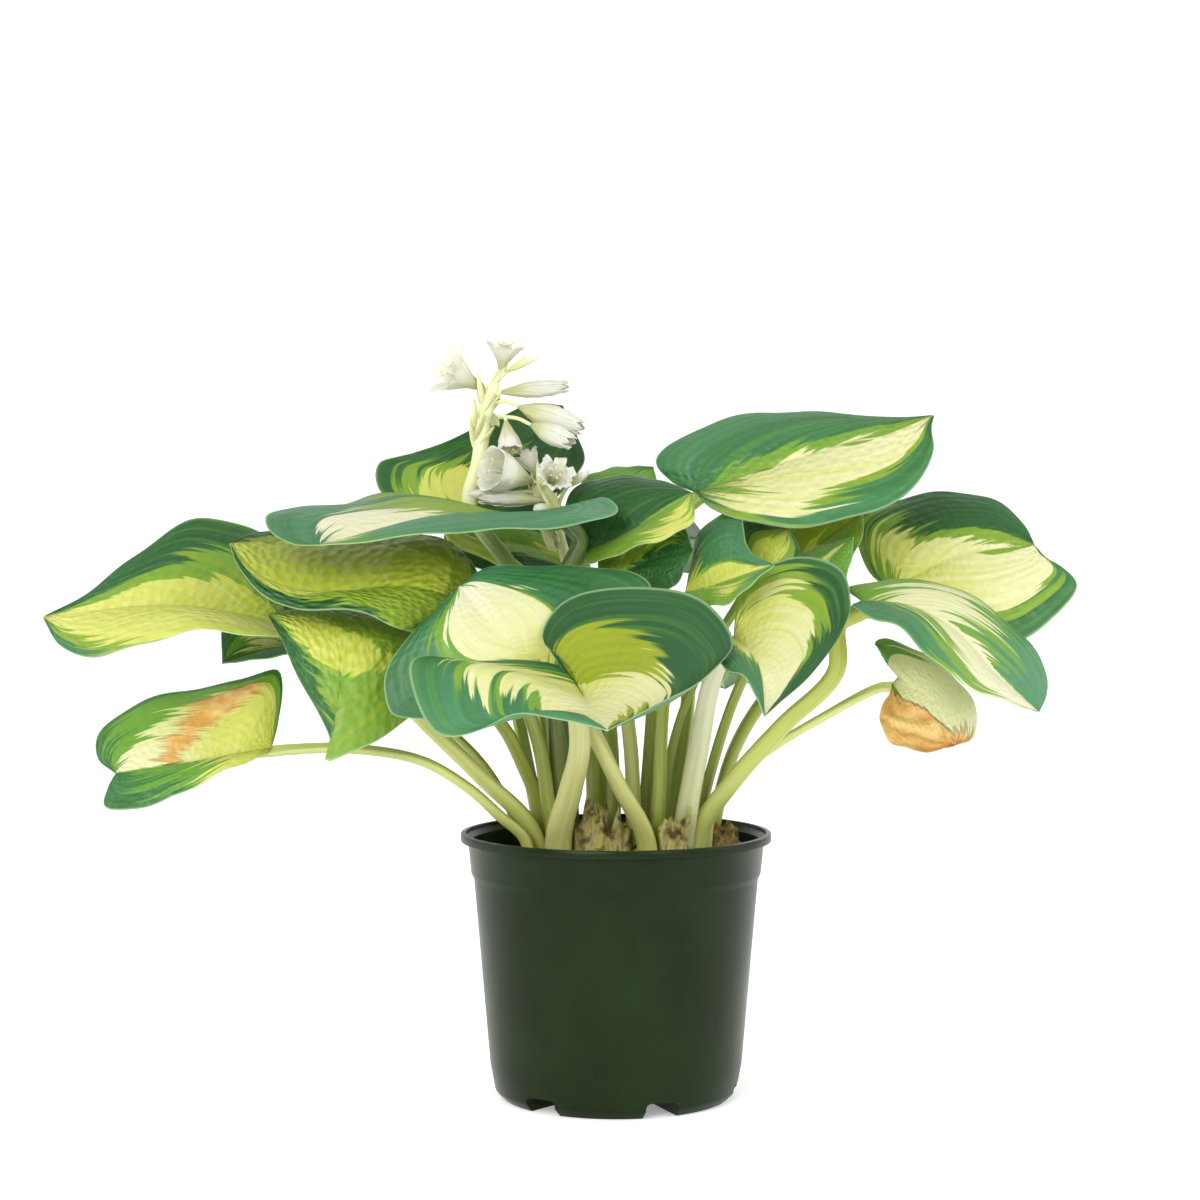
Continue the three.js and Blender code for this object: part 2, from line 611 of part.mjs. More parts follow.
// Points round a centre, each at its own radius.
function ringOf(centre, across, other, sides, radiusAt) {
  return Array.from({ length: sides }, (_, side) => {
    const angle = (2 * Math.PI * side) / sides;
    const radius = radiusAt(side);
    return centre
      .clone()
      .addScaledVector(across, radius * Math.cos(angle))
      .addScaledVector(other, radius * Math.sin(angle));
  });
}

// A stem with the small stalks of its blooms and buds, each rooted inside the stem.
function stemSolid(stem, carried) {
  const foot = point(...stem.foot, STALK_FOOT);
  const path = [foot, ...stem.path.map((place) => point(...place))];
  let solid = solidOf(tubeGeometry(path, stem.radius[1], stem.radius[0], 9, 6));
  for (const bloom of carried) {
    const base = point(...bloom.base);
    const back = base.clone().sub(point(...bloom.mouth)).normalize();
    const places = [...bloom.via.map((place) => point(...place)), base.addScaledVector(back, PEDICEL_GAP)];
    const rows = places.length;
    solid = solid.add(solidOf(tubeGeometry(places, PEDICEL_RADIUS, PEDICEL_RADIUS, rows, 4)));
  }
  return solid;
}

// The part of a stem that stands in the soil, widened to cut its hole.
function stemPeg(stem) {
  const foot = point(...stem.foot, STALK_FOOT - CLEAR);
  const radius = stem.radius[1] + CLEAR;
  return solidOf(tubeGeometry([foot, point(...stem.path[0])], radius, radius, 1, 6));
}

// A flower: a narrow tube that widens to six pointed petals, hollow from its mouth.
function bloomGeometry({ base, mouth, width, form }) {
  const start = point(...base);
  const axis = point(...mouth).sub(start);
  const [across, other] = squareTo(axis.clone().normalize());
  const { low, high, petal, notch } = BLOOM_FORMS[form];
  const half = width / 2;
  const ring = (share, radius) =>
    ringOf(start.clone().addScaledVector(axis, share), across, other, PETAL_POINTS, () => radius);
  const rim = (inset) => {
    const radiusAt = (side) => (side % 2 ? notch : petal) * half - inset;
    const points = ringOf(start, across, other, PETAL_POINTS, radiusAt);
    return points.map((place, side) => place.addScaledVector(axis, side % 2 ? NOTCH_SHARE : 1));
  };
  const inside = (share) => THREE.MathUtils.lerp(LOW_SHARE, NOTCH_SHARE, share);
  const [deep, shallow] = [0.5, 0.75];
  const outer = [ring(0, PEDICEL_RADIUS), ring(LOW_SHARE, low * half), ring(HIGH_SHARE, high * half), rim(0)];
  const inner = [
    rim(PETAL_THICKNESS),
    ring(inside(shallow), Math.min(high, (high + notch) / 2) * half - PETAL_THICKNESS),
    ring(inside(deep), ((low + high) / 2) * half - PETAL_THICKNESS),
  ];
  return loftGeometry([...outer, ...inner], outer.length);
}

// A closed bud: a spindle with a pointed end.
function budGeometry({ base, mouth, width }) {
  const start = point(...base);
  const axis = point(...mouth).sub(start);
  const [across, other] = squareTo(axis.clone().normalize());
  const shape = [[0, 0.36], [0.3, 0.8], [0.62, 1], [0.85, 0.66], [1, 0.1]];
  const rings = shape.map(([share, fat]) =>
    ringOf(start.clone().addScaledVector(axis, share), across, other, 6, () => (fat * width) / 2),
  );
  return loftGeometry(rings);
}

// A dry leaf base: a thin flat strip that narrows upwards. spare widens it, to cut its hole in the soil.
function sheathGeometry({ foot, top, width }, spare = 0) {
  const start = point(...foot).add(point(0, 0, -spare));
  const axis = point(...top).sub(start);
  const rings = [[0, 1], [0.35, 0.95], [0.7, 0.6], [1, 0.12]].map(([share, wide]) => {
    const centre = start.clone().addScaledVector(axis, share).add(point(0, -3 * share * (1 - share), 0));
    const flat = ringOf(centre, point(1, 0, 0), point(0, 1, 0), 8, () => 1);
    return flat.map((place) => {
      const offset = place.sub(centre);
      const half = (wide * width) / 2;
      const bent = -0.12 * offset.x ** 2 * half;
      const deep = offset.y * (SHEATH_THICKNESS / 2 + spare) + bent;
      return centre.clone().add(point(offset.x * (half + spare), deep, 0));
    });
  });
  return loftGeometry(rings);
}

// A bit of bark: a rough lump, its corners moved in and out by a rule. spare widens it.
function chipGeometry({ place, size, turn }, spare = 0) {
  const bare = new THREE.IcosahedronGeometry(1, 0).deleteAttribute("normal").deleteAttribute("uv");
  const geometry = mergeVertices(bare);
  const corners = geometry.attributes.position;
  for (let corner = 0; corner < corners.count; corner++) {
    const rough = 1 + 0.14 * Math.sin(5 * corner + turn);
    corners.setXYZ(
      corner,
      corners.getX(corner) * (size[0] * rough + spare),
      corners.getY(corner) * (size[1] * rough + spare),
      corners.getZ(corner) * (size[2] * rough + spare),
    );
  }
  return geometry.rotateZ(THREE.MathUtils.degToRad(turn)).translate(...place);
}

// A solid of revolution about the pot's axis, from the lowest point on the axis to the highest.
function turned(profile) {
  const points = profile.map(([radius, height]) => new THREE.Vector2(radius, height));
  return solidOf(new THREE.LatheGeometry(points, POT_SIDES).rotateX(Math.PI / 2));
}

const drainAngles = Array.from({ length: DRAINS }, (_, drain) => DRAIN_TURN + (360 / DRAINS) * drain);

// A bar that runs outwards along every drain channel, from radius start to end and up to a height.
function drainBars(width, height, start, end, bottom) {
  const corner = DRAIN_CORNER;
  const half = width / 2;
  const section = new THREE.Shape();
  section.moveTo(-half, bottom).lineTo(half, bottom).lineTo(half, height - corner);
  section.quadraticCurveTo(half, height, half - corner, height);
  section.lineTo(corner - half, height).quadraticCurveTo(-half, height, -half, height - corner);
  return drainAngles.map((angle) => {
    const shape = { depth: end - start, bevelEnabled: false, curveSegments: 3 };
    const bar = new THREE.ExtrudeGeometry(section, shape);
    bar.translate(0, 0, start).rotateX(Math.PI / 2).rotateZ(THREE.MathUtils.degToRad(angle));
    return solidOf(bar);
  });
}

const joinAll = (solids) => solids.reduce((whole, solid) => whole.add(solid));

function potSolid() {
  const outside = turned(POT_OUTSIDE);
  const roofWidth = DRAIN_WIDTH + 2 * WALL;
  const roofs = joinAll(drainBars(roofWidth, DRAIN_HEIGHT + FLOOR, DRAIN_START - WALL, RIM_RADIUS, 0));
  const channels = joinAll(drainBars(DRAIN_WIDTH, DRAIN_HEIGHT, DRAIN_START, RIM_RADIUS, -1));
  const slots = drainAngles.map((angle) => {
    const slot = new THREE.BoxGeometry(SLOT.width, SLOT.length, 4 * FLOOR);
    slot.translate(0, -SLOT.radius, DRAIN_HEIGHT + FLOOR).rotateZ(THREE.MathUtils.degToRad(angle));
    return solidOf(slot);
  });
  const body = outside.subtract(turned(POT_INSIDE)).add(roofs.intersect(outside));
  return body.subtract(channels).subtract(joinAll(slots));
}

// The soil's height at a place.
function soilHeight(x, y) {
  const mound = Math.exp(-((x / CROWN_SPREAD[0]) ** 2) - (y / CROWN_SPREAD[1]) ** 2);
  const heap = Math.exp(-((x - HEAP.x) ** 2 + (y - HEAP.y) ** 2) / HEAP.spread ** 2);
  const lumps = 0.9 * Math.sin(x / 5.3 + 1) * Math.cos(y / 4.7) + 0.7 * Math.sin((x + y) / 8.9);
  return SOIL_EDGE + (SOIL_CROWN - SOIL_EDGE) * mound + HEAP.height * heap + lumps;
}

// The soil, clear of the pot inside, with a plain hole for everything that stands in it.
function soilSolid(pegs) {
  const ring = (radius, heightAt) =>
    ringOf(point(0, 0, 0), point(1, 0, 0), point(0, 1, 0), POT_SIDES, () => radius).map((place) =>
      place.setZ(heightAt(place.x, place.y)),
    );
  const edge = 73.3 - CLEAR;
  const rings = [
    ring(2, () => FLOOR + CLEAR),
    ring(61.4 - CLEAR, () => FLOOR + CLEAR),
    ring(65.2 - CLEAR, () => 18.5),
    ...[1, 0.72, 0.4, 0.04].map((share) => ring(edge * share, soilHeight)),
  ];
  const roofs = drainBars(
    DRAIN_WIDTH + 2 * WALL + 2 * CLEAR,
    DRAIN_HEIGHT + FLOOR + CLEAR,
    DRAIN_START - WALL - CLEAR,
    RIM_RADIUS,
    0,
  );
  return solidOf(loftGeometry(rings)).subtract(joinAll([...roofs, ...pegs]));
}

const look = (color, roughness) => new THREE.MeshStandardMaterial({ color, roughness, metalness: 0 });
const LOOKS = {
  pot: look(0x24361f, 0.45),
  soil: look(0x3a2a1c, 0.95),
  leaf: look(0x5f8f3a, 0.5),
  stem: look(0xc9cf86, 0.5),
  petal: look(0xf3f1e4, 0.6),
  dry: look(0xa58a55, 0.85),
  bark: look(0x5a4028, 0.9),
};

const plant = new THREE.Group();

function addPart(name, geometry, material) {
  const mesh = new THREE.Mesh(geometry, material);
  mesh.name = name;
  plant.add(mesh);
}

addPart("pot", geometryFrom(potSolid()), LOOKS.pot);

const pegs = [];
for (const leaf of [...LEAVES, ...BACK_LEAVES.map(plainLeaf)]) {
  const curves = curvesOf(leaf);
  const blade = solidOf(bladeGeometry(leaf, curves));
  const stalk = solidOf(stalkGeometry(leaf, curves));
  pegs.push(solidOf(stalkGeometry(leaf, curves, CLEAR)));
  addPart(leaf.name, geometryFrom(blade.add(stalk)), LOOKS.leaf);
}
STEMS.forEach((stem, place) => {
  const carried = [...BLOOMS, ...BUDS].filter((bloom) => bloom.stem === place);
  pegs.push(stemPeg(stem));
  addPart(stem.name, geometryFrom(stemSolid(stem, carried)), LOOKS.stem);
});
for (const bloom of BLOOMS) addPart(bloom.name, bloomGeometry(bloom), LOOKS.petal);
for (const bud of BUDS) addPart(bud.name, budGeometry(bud), LOOKS.petal);
for (const sheath of SHEATHS) {
  pegs.push(solidOf(sheathGeometry(sheath, CLEAR)));
  addPart(sheath.name, sheathGeometry(sheath), LOOKS.dry);
}
for (const chip of CHIPS) {
  pegs.push(solidOf(chipGeometry(chip, CLEAR)));
  addPart(chip.name, chipGeometry(chip), LOOKS.bark);
}
addPart("soil", geometryFrom(soilSolid(pegs)), LOOKS.soil);

export default plant;
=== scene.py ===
"""A potted hosta with variegated leaves, dressed for rendering.

Sizes are millimetres in the part's own frame: +Z up, -Y towards the viewer, and the origin at the centre of
the pot's underside. They turn into metres when a mesh is made. Only the floor, the lights and the camera are
placed in metres. Angles are degrees where a name or a comment doesn't say otherwise.
"""
import math
import random

import bmesh
import bpy
import numpy as np
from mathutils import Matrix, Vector, noise


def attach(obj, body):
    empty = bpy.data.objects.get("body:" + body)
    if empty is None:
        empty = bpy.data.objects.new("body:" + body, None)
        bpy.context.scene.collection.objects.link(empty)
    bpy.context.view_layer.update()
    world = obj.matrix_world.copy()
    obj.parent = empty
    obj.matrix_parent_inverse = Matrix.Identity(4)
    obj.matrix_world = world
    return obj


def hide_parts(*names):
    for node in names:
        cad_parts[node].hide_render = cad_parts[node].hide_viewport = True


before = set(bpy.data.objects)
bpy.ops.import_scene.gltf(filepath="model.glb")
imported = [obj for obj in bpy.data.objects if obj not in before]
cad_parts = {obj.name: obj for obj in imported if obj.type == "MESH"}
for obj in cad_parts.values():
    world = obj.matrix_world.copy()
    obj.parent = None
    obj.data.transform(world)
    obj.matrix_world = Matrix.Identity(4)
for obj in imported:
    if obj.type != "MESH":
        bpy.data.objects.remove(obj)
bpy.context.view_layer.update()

MM = 0.001  # in metres
BODY = "root"

# Leaves. foot is where the stalk enters the soil, and via holds the points that it passes. rib is the midrib
# from the stalk to the tip, and left and right are the margin's points round each half, seen from the stalk.
# swell bulges each half upwards between its rib and its margin, and radius is the stalk's, at its top and its
# foot.
LEAVES = [
  {
    "name": "leaf_far_left",
    "radius": [5.2, 7],
    "foot": [-41, -3],
    "via": [[-42, -7, 142], [-70, -9, 172], [-95, -8, 196], [-138, -8, 237]],
    "rib": [[-175, -8, 253], [-237, -14, 262], [-300, -20, 256]],
    "left": [[-162, -30, 245], [-187, -56, 249], [-214, -62, 251], [-239, -58, 245], [-268, -48, 237],
      [-289, -32, 242]],
    "right": [[-174, 22, 275], [-192, 40, 298], [-225, 32, 307], [-256, 5, 287], [-280, -10, 267]],
    "swell": [4, 3],
  },
  {
    "name": "leaf_left_small",
    "radius": [2.8, 4],
    "foot": [-36, 27],
    "via": [[-67, 22, 170], [-96, 26, 199]],
    "rib": [[-152, 28, 241], [-180, 20, 237], [-210, 8, 230]],
    "left": [[-147, 2, 226], [-172, -6, 235], [-194, -2, 232]],
    "right": [[-148, 48, 259], [-179, 54, 270], [-205, 46, 267], [-212, 26, 251]],
    "swell": [3, 3],
  },
  {
    "name": "leaf_low_left",
    "radius": [3.3, 5],
    "foot": [-46, -17],
    "via": [[-46, -18, 138], [-61, -19, 153], [-78, -20, 168], [-103, -21, 182], [-142, -22, 188]],
    "rib": [[-180, -25, 188], [-221, -38, 182], [-259, -40, 176]],
    "left": [[-186, -36, 184], [-202, -46, 178], [-226, -55, 166], [-251, -58, 159], [-263, -52, 161],
      [-262, -46, 169]],
    "right": [[-178, -12, 200], [-179, 0, 227], [-200, 6, 221], [-222, 6, 217], [-252, -4, 210],
      [-271, -18, 195], [-270, -30, 183]],
    "swell": [3, 3],
  },
  {
    "name": "leaf_left",
    "radius": [5, 5.8],
    "foot": [-26, -8],
    "via": [[-34, -4, 153], [-40, -4, 190], [-58, -14, 238]],
    "rib": [[-81, -22, 266], [-112, -40, 273], [-152, -52, 270], [-181, -52, 278], [-199, -42, 295]],
    "left": [[-81, -34, 254], [-96, -40, 248], [-113, -56, 253], [-138, -70, 263], [-160, -74, 262],
      [-179, -68, 270], [-193, -54, 283]],
    "right": [[-73, 0, 277], [-89, 20, 294], [-133, 28, 301], [-168, 10, 301], [-190, -22, 300]],
    "swell": [4, 4],
  },
  {
    "name": "leaf_upper_left",
    "radius": [4.8, 5.5],
    "foot": [-22, 6],
    "via": [[-30, 4, 163], [-32, 2, 200], [-36, 2, 259]],
    "rib": [[-26, 0, 306], [-87, -24, 310], [-149, -72, 295]],
    "left": [[-19, 10, 314], [-6, -2, 318], [1, -16, 313], [-5, -32, 308], [-38, -50, 303], [-71, -60, 302],
      [-109, -70, 299], [-132, -76, 296]],
    "right": [[-29, 14, 307], [-51, 20, 307], [-73, 24, 309], [-97, 26, 317], [-125, 18, 320],
      [-146, 2, 315], [-165, -18, 313], [-180, -40, 310], [-176, -58, 301], [-162, -70, 295]],
    "swell": [2, 3],
  },
  {
    "name": "leaf_top_back",
    "radius": [4.6, 5.5],
    "foot": [-9, 8],
    "via": [[-13, 18, 188], [-29, 40, 252], [-63, 50, 285]],
    "rib": [[-89, 45, 310], [-61, 62, 338], [-29, 75, 369]],
    "left": [[-114, 40, 312], [-129, 40, 323], [-129, 45, 337], [-111, 54, 342], [-91, 62, 350],
      [-67, 70, 361], [-46, 75, 370]],
    "right": [[-52, 42, 306], [-25, 45, 326], [-17, 52, 339], [-21, 60, 352], [-26, 68, 362]],
    "swell": [-3, -3],
  },
  {
    "name": "leaf_hanging_left",
    "radius": [4.8, 6],
    "foot": [-36, 13],
    "via": [[-41, 8, 157], [-48, 4, 176], [-60, -6, 200]],
    "rib": [[-96, -30, 236], [-137, -50, 249], [-179, -50, 259]],
    "left": [[-91, -38, 219], [-105, -50, 207], [-122, -64, 195], [-137, -72, 189], [-147, -74, 186],
      [-145, -72, 195], [-151, -68, 209], [-163, -62, 229], [-171, -56, 246]],
    "right": [[-88, -14, 244], [-109, -6, 255], [-145, -14, 262], [-166, -34, 261]],
    "swell": [4, 3],
  },
  {
    "name": "leaf_front_back",
    "radius": [5.2, 8.5],
    "foot": [17, -27],
    "via": [[17, -30, 141], [3, -36, 170], [-10, -42, 196]],
    "rib": [[-31, -46, 228], [-57, -60, 246], [-81, -46, 273]],
    "left": [[-49, -56, 213], [-85, -64, 207], [-105, -68, 207], [-114, -68, 209], [-118, -66, 221],
      [-117, -64, 231], [-105, -58, 249], [-90, -50, 264]],
    "right": [[-8, -34, 234], [15, -24, 259], [18, -20, 272], [7, -19, 280], [-14, -20, 282],
      [-40, -26, 283], [-68, -38, 282]],
    "swell": [5, 5],
  },
  {
    "name": "leaf_front",
    "radius": [5.4, 8.6],
    "foot": [-30, -27],
    "via": [[-30, -32, 143], [-24, -40, 167], [-19, -54, 192]],
    "rib": [[-19, -75, 222], [-13, -118, 217], [-5, -160, 209]],
    "left": [[-32, -68, 239], [-38, -60, 249], [-27, -50, 265], [7, -45, 273], [44, -62, 266],
      [58, -88, 247], [42, -120, 231], [15, -146, 218]],
    "right": [[-29, -68, 233], [-44, -68, 236], [-81, -78, 237], [-102, -90, 238], [-101, -104, 224],
      [-88, -122, 204], [-67, -134, 207], [-49, -142, 215], [-28, -154, 214]],
    "swell": [-8, 5],
  },
  {
    "name": "leaf_inner_mid",
    "radius": [3.8, 4.6],
    "foot": [-4, -1],
    "via": [[-4, 8, 189], [-14, 12, 253]],
    "rib": [[-18, 5, 289], [13, -6, 304], [40, -8, 321]],
    "left": [[-28, 22, 304], [-24, 32, 321], [-7, 34, 329], [16, 26, 329], [31, 8, 325]],
    "right": [[-13, -12, 284], [8, -26, 292], [29, -28, 299], [40, -22, 306]],
    "swell": [5, 2],
  },
  {
    "name": "leaf_inner_low",
    "radius": [4.6, 5.4],
    "foot": [8, -10],
    "via": [[8, -10, 159], [6, -10, 193], [-2, -8, 238]],
    "rib": [[-8, -1, 272], [15, -6, 284], [40, -23, 291]],
    "left": [[-9, 9, 287], [3, 13, 299], [19, 9, 307], [34, -6, 306]],
    "right": [[-2, -7, 264], [14, -9, 266], [31, -20, 273]],
    "swell": [3, 2],
  },
  {
    "name": "leaf_top_right",
    "radius": [4.8, 5.5],
    "foot": [10, 11],
    "via": [[18, 20, 199], [21, 24, 263]],
    "rib": [[43, 25, 321], [99, 18, 340], [169, 8, 362]],
    "left": [[30, 42, 327], [22, 50, 338], [38, 58, 352], [74, 62, 364], [120, 50, 364], [151, 30, 361]],
    "right": [[50, 2, 313], [66, -14, 307], [90, -24, 303], [126, -26, 309], [154, -18, 322], [167, -6, 343],
      [167, 2, 355]],
    "swell": [4, 4],
  },
  {
    "name": "leaf_right",
    "radius": [4.6, 5.5],
    "foot": [44, 22],
    "via": [[65, 28, 187], [108, 32, 241]],
    "rib": [[148, 28, 269], [186, 30, 287], [225, 22, 293]],
    "left": [[138, 45, 278], [133, 60, 305], [157, 66, 317], [182, 64, 321], [207, 52, 317], [221, 36, 304]],
    "right": [[147, 14, 256], [167, 4, 243], [196, 0, 239], [217, 0, 244], [236, 4, 258], [246, 10, 272],
      [240, 15, 280], [231, 19, 286]],
    "swell": [5, 5],
  },
  {
    "name": "leaf_right_drooping",
    "radius": [6.4, 6.8],
    "foot": [41, -6],
    "via": [[43, -8, 143], [61, -12, 171], [87, -18, 201], [113, -26, 229]],
    "rib": [[127, -32, 265], [152, -40, 263], [173, -50, 251], [194, -62, 228], [214, -68, 210]],
    "left": [[121, -18, 271], [149, -8, 275], [176, -4, 272], [197, -8, 260], [215, -18, 244],
      [223, -34, 227], [220, -52, 217]],
    "right": [[121, -48, 263], [129, -64, 258], [141, -76, 254], [159, -88, 237], [176, -90, 224],
      [194, -84, 217]],
    "swell": [3, 3],
  },
  {
    "name": "leaf_right_front",
    "radius": [5.6, 6.5],
    "foot": [31, -17],
    "via": [[36, -18, 147], [43, -22, 189], [49, -34, 224]],
    "rib": [[60, -52, 247], [71, -88, 236], [72, -118, 212]],
    "left": [[63, -38, 266], [73, -28, 279], [95, -25, 288], [116, -34, 281], [120, -50, 266],
      [114, -70, 251], [95, -92, 229], [80, -108, 218]],
    "right": [[54, -58, 246], [48, -78, 240], [53, -98, 235], [64, -112, 229]],
    "swell": [-6, 3],
  },
  {
    "name": "leaf_folded",
    "radius": [4, 5],
    "foot": [19, -12],
    "via": [[22, -13, 164], [24, -15, 210]],
    "rib": [[36, -22, 269], [58, -38, 275], [81, -48, 284]],
    "left": [[39, -8, 280], [44, 0, 299], [56, 0, 310], [65, -6, 310], [66, -16, 303], [70, -34, 290]],
    "right": [[43, -42, 263], [59, -58, 266], [69, -56, 275]],
    "swell": [3, 2],
  },
  {
    "name": "leaf_young_right",
    "radius": [3, 4],
    "foot": [21, 6],
    "via": [[30, 8, 189], [47, 8, 232]],
    "rib": [[68, 2, 270], [79, 0, 288], [91, -6, 302]],
    "left": [[64, 15, 285], [68, 22, 306], [81, 10, 304]],
    "right": [[78, -8, 267], [94, -6, 278], [97, -4, 291]],
    "swell": [2, 2],
  },
  {
    "name": "leaf_young_outer",
    "radius": [3.8, 4.6],
    "foot": [34, 9],
    "via": [[50, 12, 173], [64, 8, 216]],
    "rib": [[92, 0, 269], [110, -4, 285], [125, -8, 298]],
    "left": [[93, 16, 284], [106, 14, 291], [118, 4, 295]],
    "right": [[99, -10, 265], [116, -16, 270], [123, -14, 284]],
    "swell": [2, 2],
  },
  {
    "name": "leaf_low_right",
    "radius": [3.1, 4.5],
    "foot": [46, 8],
    "via": [[52, 5, 157], [76, -2, 182], [108, -10, 203]],
    "rib": [[145, -18, 221], [161, -30, 216], [175, -44, 191]],
    "left": [[151, -10, 229], [137, 0, 241], [143, 4, 243], [161, -6, 237], [175, -14, 227], [187, -26, 210],
      [185, -36, 194]],
    "right": [[141, -28, 213], [136, -38, 205], [141, -48, 193], [158, -52, 188]],
    "swell": [3, -3],
  },
  {
    "name": "leaf_back_sliver",
    "radius": [3.2, 4],
    "foot": [0, 20],
    "via": [[-3, 32, 198], [-13, 44, 262]],
    "rib": [[-17, 48, 310], [2, 58, 322], [21, 62, 335]],
    "left": [[-22, 62, 321], [-13, 70, 331], [4, 72, 335]],
    "right": [[-8, 36, 305], [11, 42, 312], [22, 50, 324]],
    "swell": [3, 3],
  },
  {
    "name": "leaf_right_inner",
    "radius": [3.4, 4.5],
    "foot": [31, 17],
    "via": [[45, 24, 198], [64, 28, 236]],
    "rib": [[86, 28, 269], [108, 30, 291], [133, 26, 310]],
    "left": [[81, 44, 284], [90, 52, 307], [117, 44, 317]],
    "right": [[99, 18, 269], [122, 14, 281], [132, 18, 298]],
    "swell": [3, 3],
  },
  # A leaf in the shade behind the others. Its tip is drawn out to the left to fill the shade below
  # leaf_left's upper margin.
  {
    "name": "leaf_inner_back",
    "radius": [4, 5],
    "foot": [-22, 33],
    "via": [[-26, 50, 174], [-24, 70, 234]],
    "rib": [[-18, 80, 278], [-48, 78, 291], [-95, 68, 296]],
    "left": [[-14, 68, 267], [-41, 61, 273], [-78, 57, 280]],
    "right": [[-10, 92, 287], [-31, 99, 301], [-64, 94, 309], [-92, 80, 307]],
    "swell": [3, 3],
  },
]
# Leaves at the back, in a short form. navel is where the stalk meets the blade, and drop is how far the
# margin hangs below the midrib.
BACK_LEAVES = [
  { "name": "leaf_back_left", "radius": [3.8, 4.8], "foot": [-34, 40], "via": [[-52, 62, 190]],
    "navel": [-72, 76, 262], "tip": [-152, 140, 236], "width": 92, "drop": 14 },
  { "name": "leaf_back", "radius": [4, 4.8], "foot": [-7, 37], "via": [[-4, 64, 210]],
    "navel": [4, 112, 312], "tip": [-14, 204, 290], "width": 104, "drop": 16 },
  { "name": "leaf_back_right", "radius": [4, 4.8], "foot": [22, 31], "via": [[38, 55, 190]],
    "navel": [52, 88, 294], "tip": [118, 166, 268], "width": 104, "drop": 14 },
  { "name": "leaf_back_low_left", "radius": [3.8, 4.6], "foot": [-20, 47], "via": [[-34, 68, 170]],
    "navel": [-48, 92, 216], "tip": [-98, 172, 192], "width": 86, "drop": 12 },
  { "name": "leaf_back_low_right", "radius": [3.8, 4.6], "foot": [8, 34], "via": [[20, 62, 170]],
    "navel": [34, 92, 226], "tip": [66, 180, 204], "width": 88, "drop": 12 },
]
# Flower stems, from the soil up. radius is the top's and the foot's.
STEMS = [
  { "name": "flower_stem_tall", "radius": [3.3, 4.8], "foot": [-23, 19],
    "path": [[-27, 31, 187], [-38, 33, 235], [-56, 31, 279], [-79, 34, 313], [-74, 34, 338], [-71, 34, 360],
      [-68, 34, 373], [-64, 34, 383]] },
  { "name": "flower_stem_low", "radius": [2.4, 3.6], "foot": [-12, 22],
    "path": [[-14, 34, 197], [-19, 42, 246], [-27, 38, 284], [-31, 32, 301], [-32, 30, 314],
      [-35, 28, 321]] },
]
# Blooms and buds. stem is the number of their flower stem, via is where their small stalk leaves it and
# passes, base is where they sit on that stalk, and mouth is the middle of their open end or their tip.
BLOOMS = [
  { "name": "bloom_star", "stem": 0, "form": "open", "via": [[-68, 34, 374]], "base": [-72, 32, 377],
    "mouth": [-94, 20, 389], "width": 32 },
  { "name": "bloom_top", "stem": 0, "form": "open", "via": [[-64, 34, 382]], "base": [-62, 33, 386],
    "mouth": [-59, 31, 403], "width": 24 },
  { "name": "bloom_right", "stem": 0, "form": "closed", "via": [[-68, 34, 372]], "base": [-61, 30, 375],
    "mouth": [-24, 24, 378], "width": 9 },
  { "name": "bloom_right_low", "stem": 0, "form": "closed", "via": [[-68, 34, 369], [-59, 31, 370]],
    "base": [-52, 28, 367], "mouth": [-17, 20, 355], "width": 14 },
  { "name": "bloom_nodding", "stem": 0, "form": "closed",
    "via": [[-71, 34, 357], [-65, 30, 361], [-54, 25, 361]],
    "base": [-45, 16, 357], "mouth": [-22, 5, 347], "width": 12 },
  { "name": "bloom_bell", "stem": 0, "form": "bell", "via": [[-65, 30, 361], [-60, 27, 362]],
    "base": [-59, 25, 359], "mouth": [-56, 19, 341], "width": 14 },
  { "name": "bloom_ruffled", "stem": 1, "form": "open", "via": [[-34, 28, 319]], "base": [-36, 24, 324],
    "mouth": [-31, 8, 333], "width": 22 },
  { "name": "bloom_left", "stem": 1, "form": "bell", "via": [[-34, 29, 319], [-40, 25, 325]],
    "base": [-45, 21, 327], "mouth": [-70, 2, 335], "width": 25 },
  { "name": "bloom_back", "stem": 1, "form": "open", "via": [[-35, 28, 319]], "base": [-40, 31, 327],
    "mouth": [-51, 33, 345], "width": 17 },
  { "name": "bloom_left_low", "stem": 1, "form": "closed", "via": [[-33, 29, 314]], "base": [-40, 20, 317],
    "mouth": [-74, 8, 318], "width": 8 },
]
BUDS = [
  { "name": "bud_upper", "stem": 0, "via": [[-64, 34, 381]], "base": [-59, 31, 386],
    "mouth": [-40, 28, 396], "width": 5 },
  { "name": "bud_left", "stem": 1, "via": [[-34, 29, 317], [-43, 25, 321]], "base": [-56, 22, 321],
    "mouth": [-79, 14, 320], "width": 6 },
  { "name": "bud_front", "stem": 1, "via": [[-32, 30, 311]], "base": [-35, 22, 313],
    "mouth": [-44, 10, 312], "width": 6 },
  { "name": "bud_right", "stem": 1, "via": [[-32, 30, 312], [-29, 27, 319]], "base": [-26, 25, 324],
    "mouth": [-14, 21, 333], "width": 5 },
]
# Dry leaf bases and bits of bark. turn is about the upright.
SHEATHS = [
  { "name": "dry_base_left", "foot": [-13, -21, 117], "top": [-11, -20, 172], "width": 15 },
  { "name": "dry_base_middle", "foot": [0, -24, 117], "top": [4, -21, 158], "width": 13 },
  { "name": "dry_base_right", "foot": [29, -30, 117], "top": [33, -31, 163], "width": 13 },
]
CHIPS = [
  { "name": "bark_chip_large", "place": [58, 14, 131], "size": [10, 6.5, 14], "turn": 20 },
  { "name": "bark_chip_small", "place": [63, -4, 124], "size": [9, 6, 5], "turn": -30 },
]
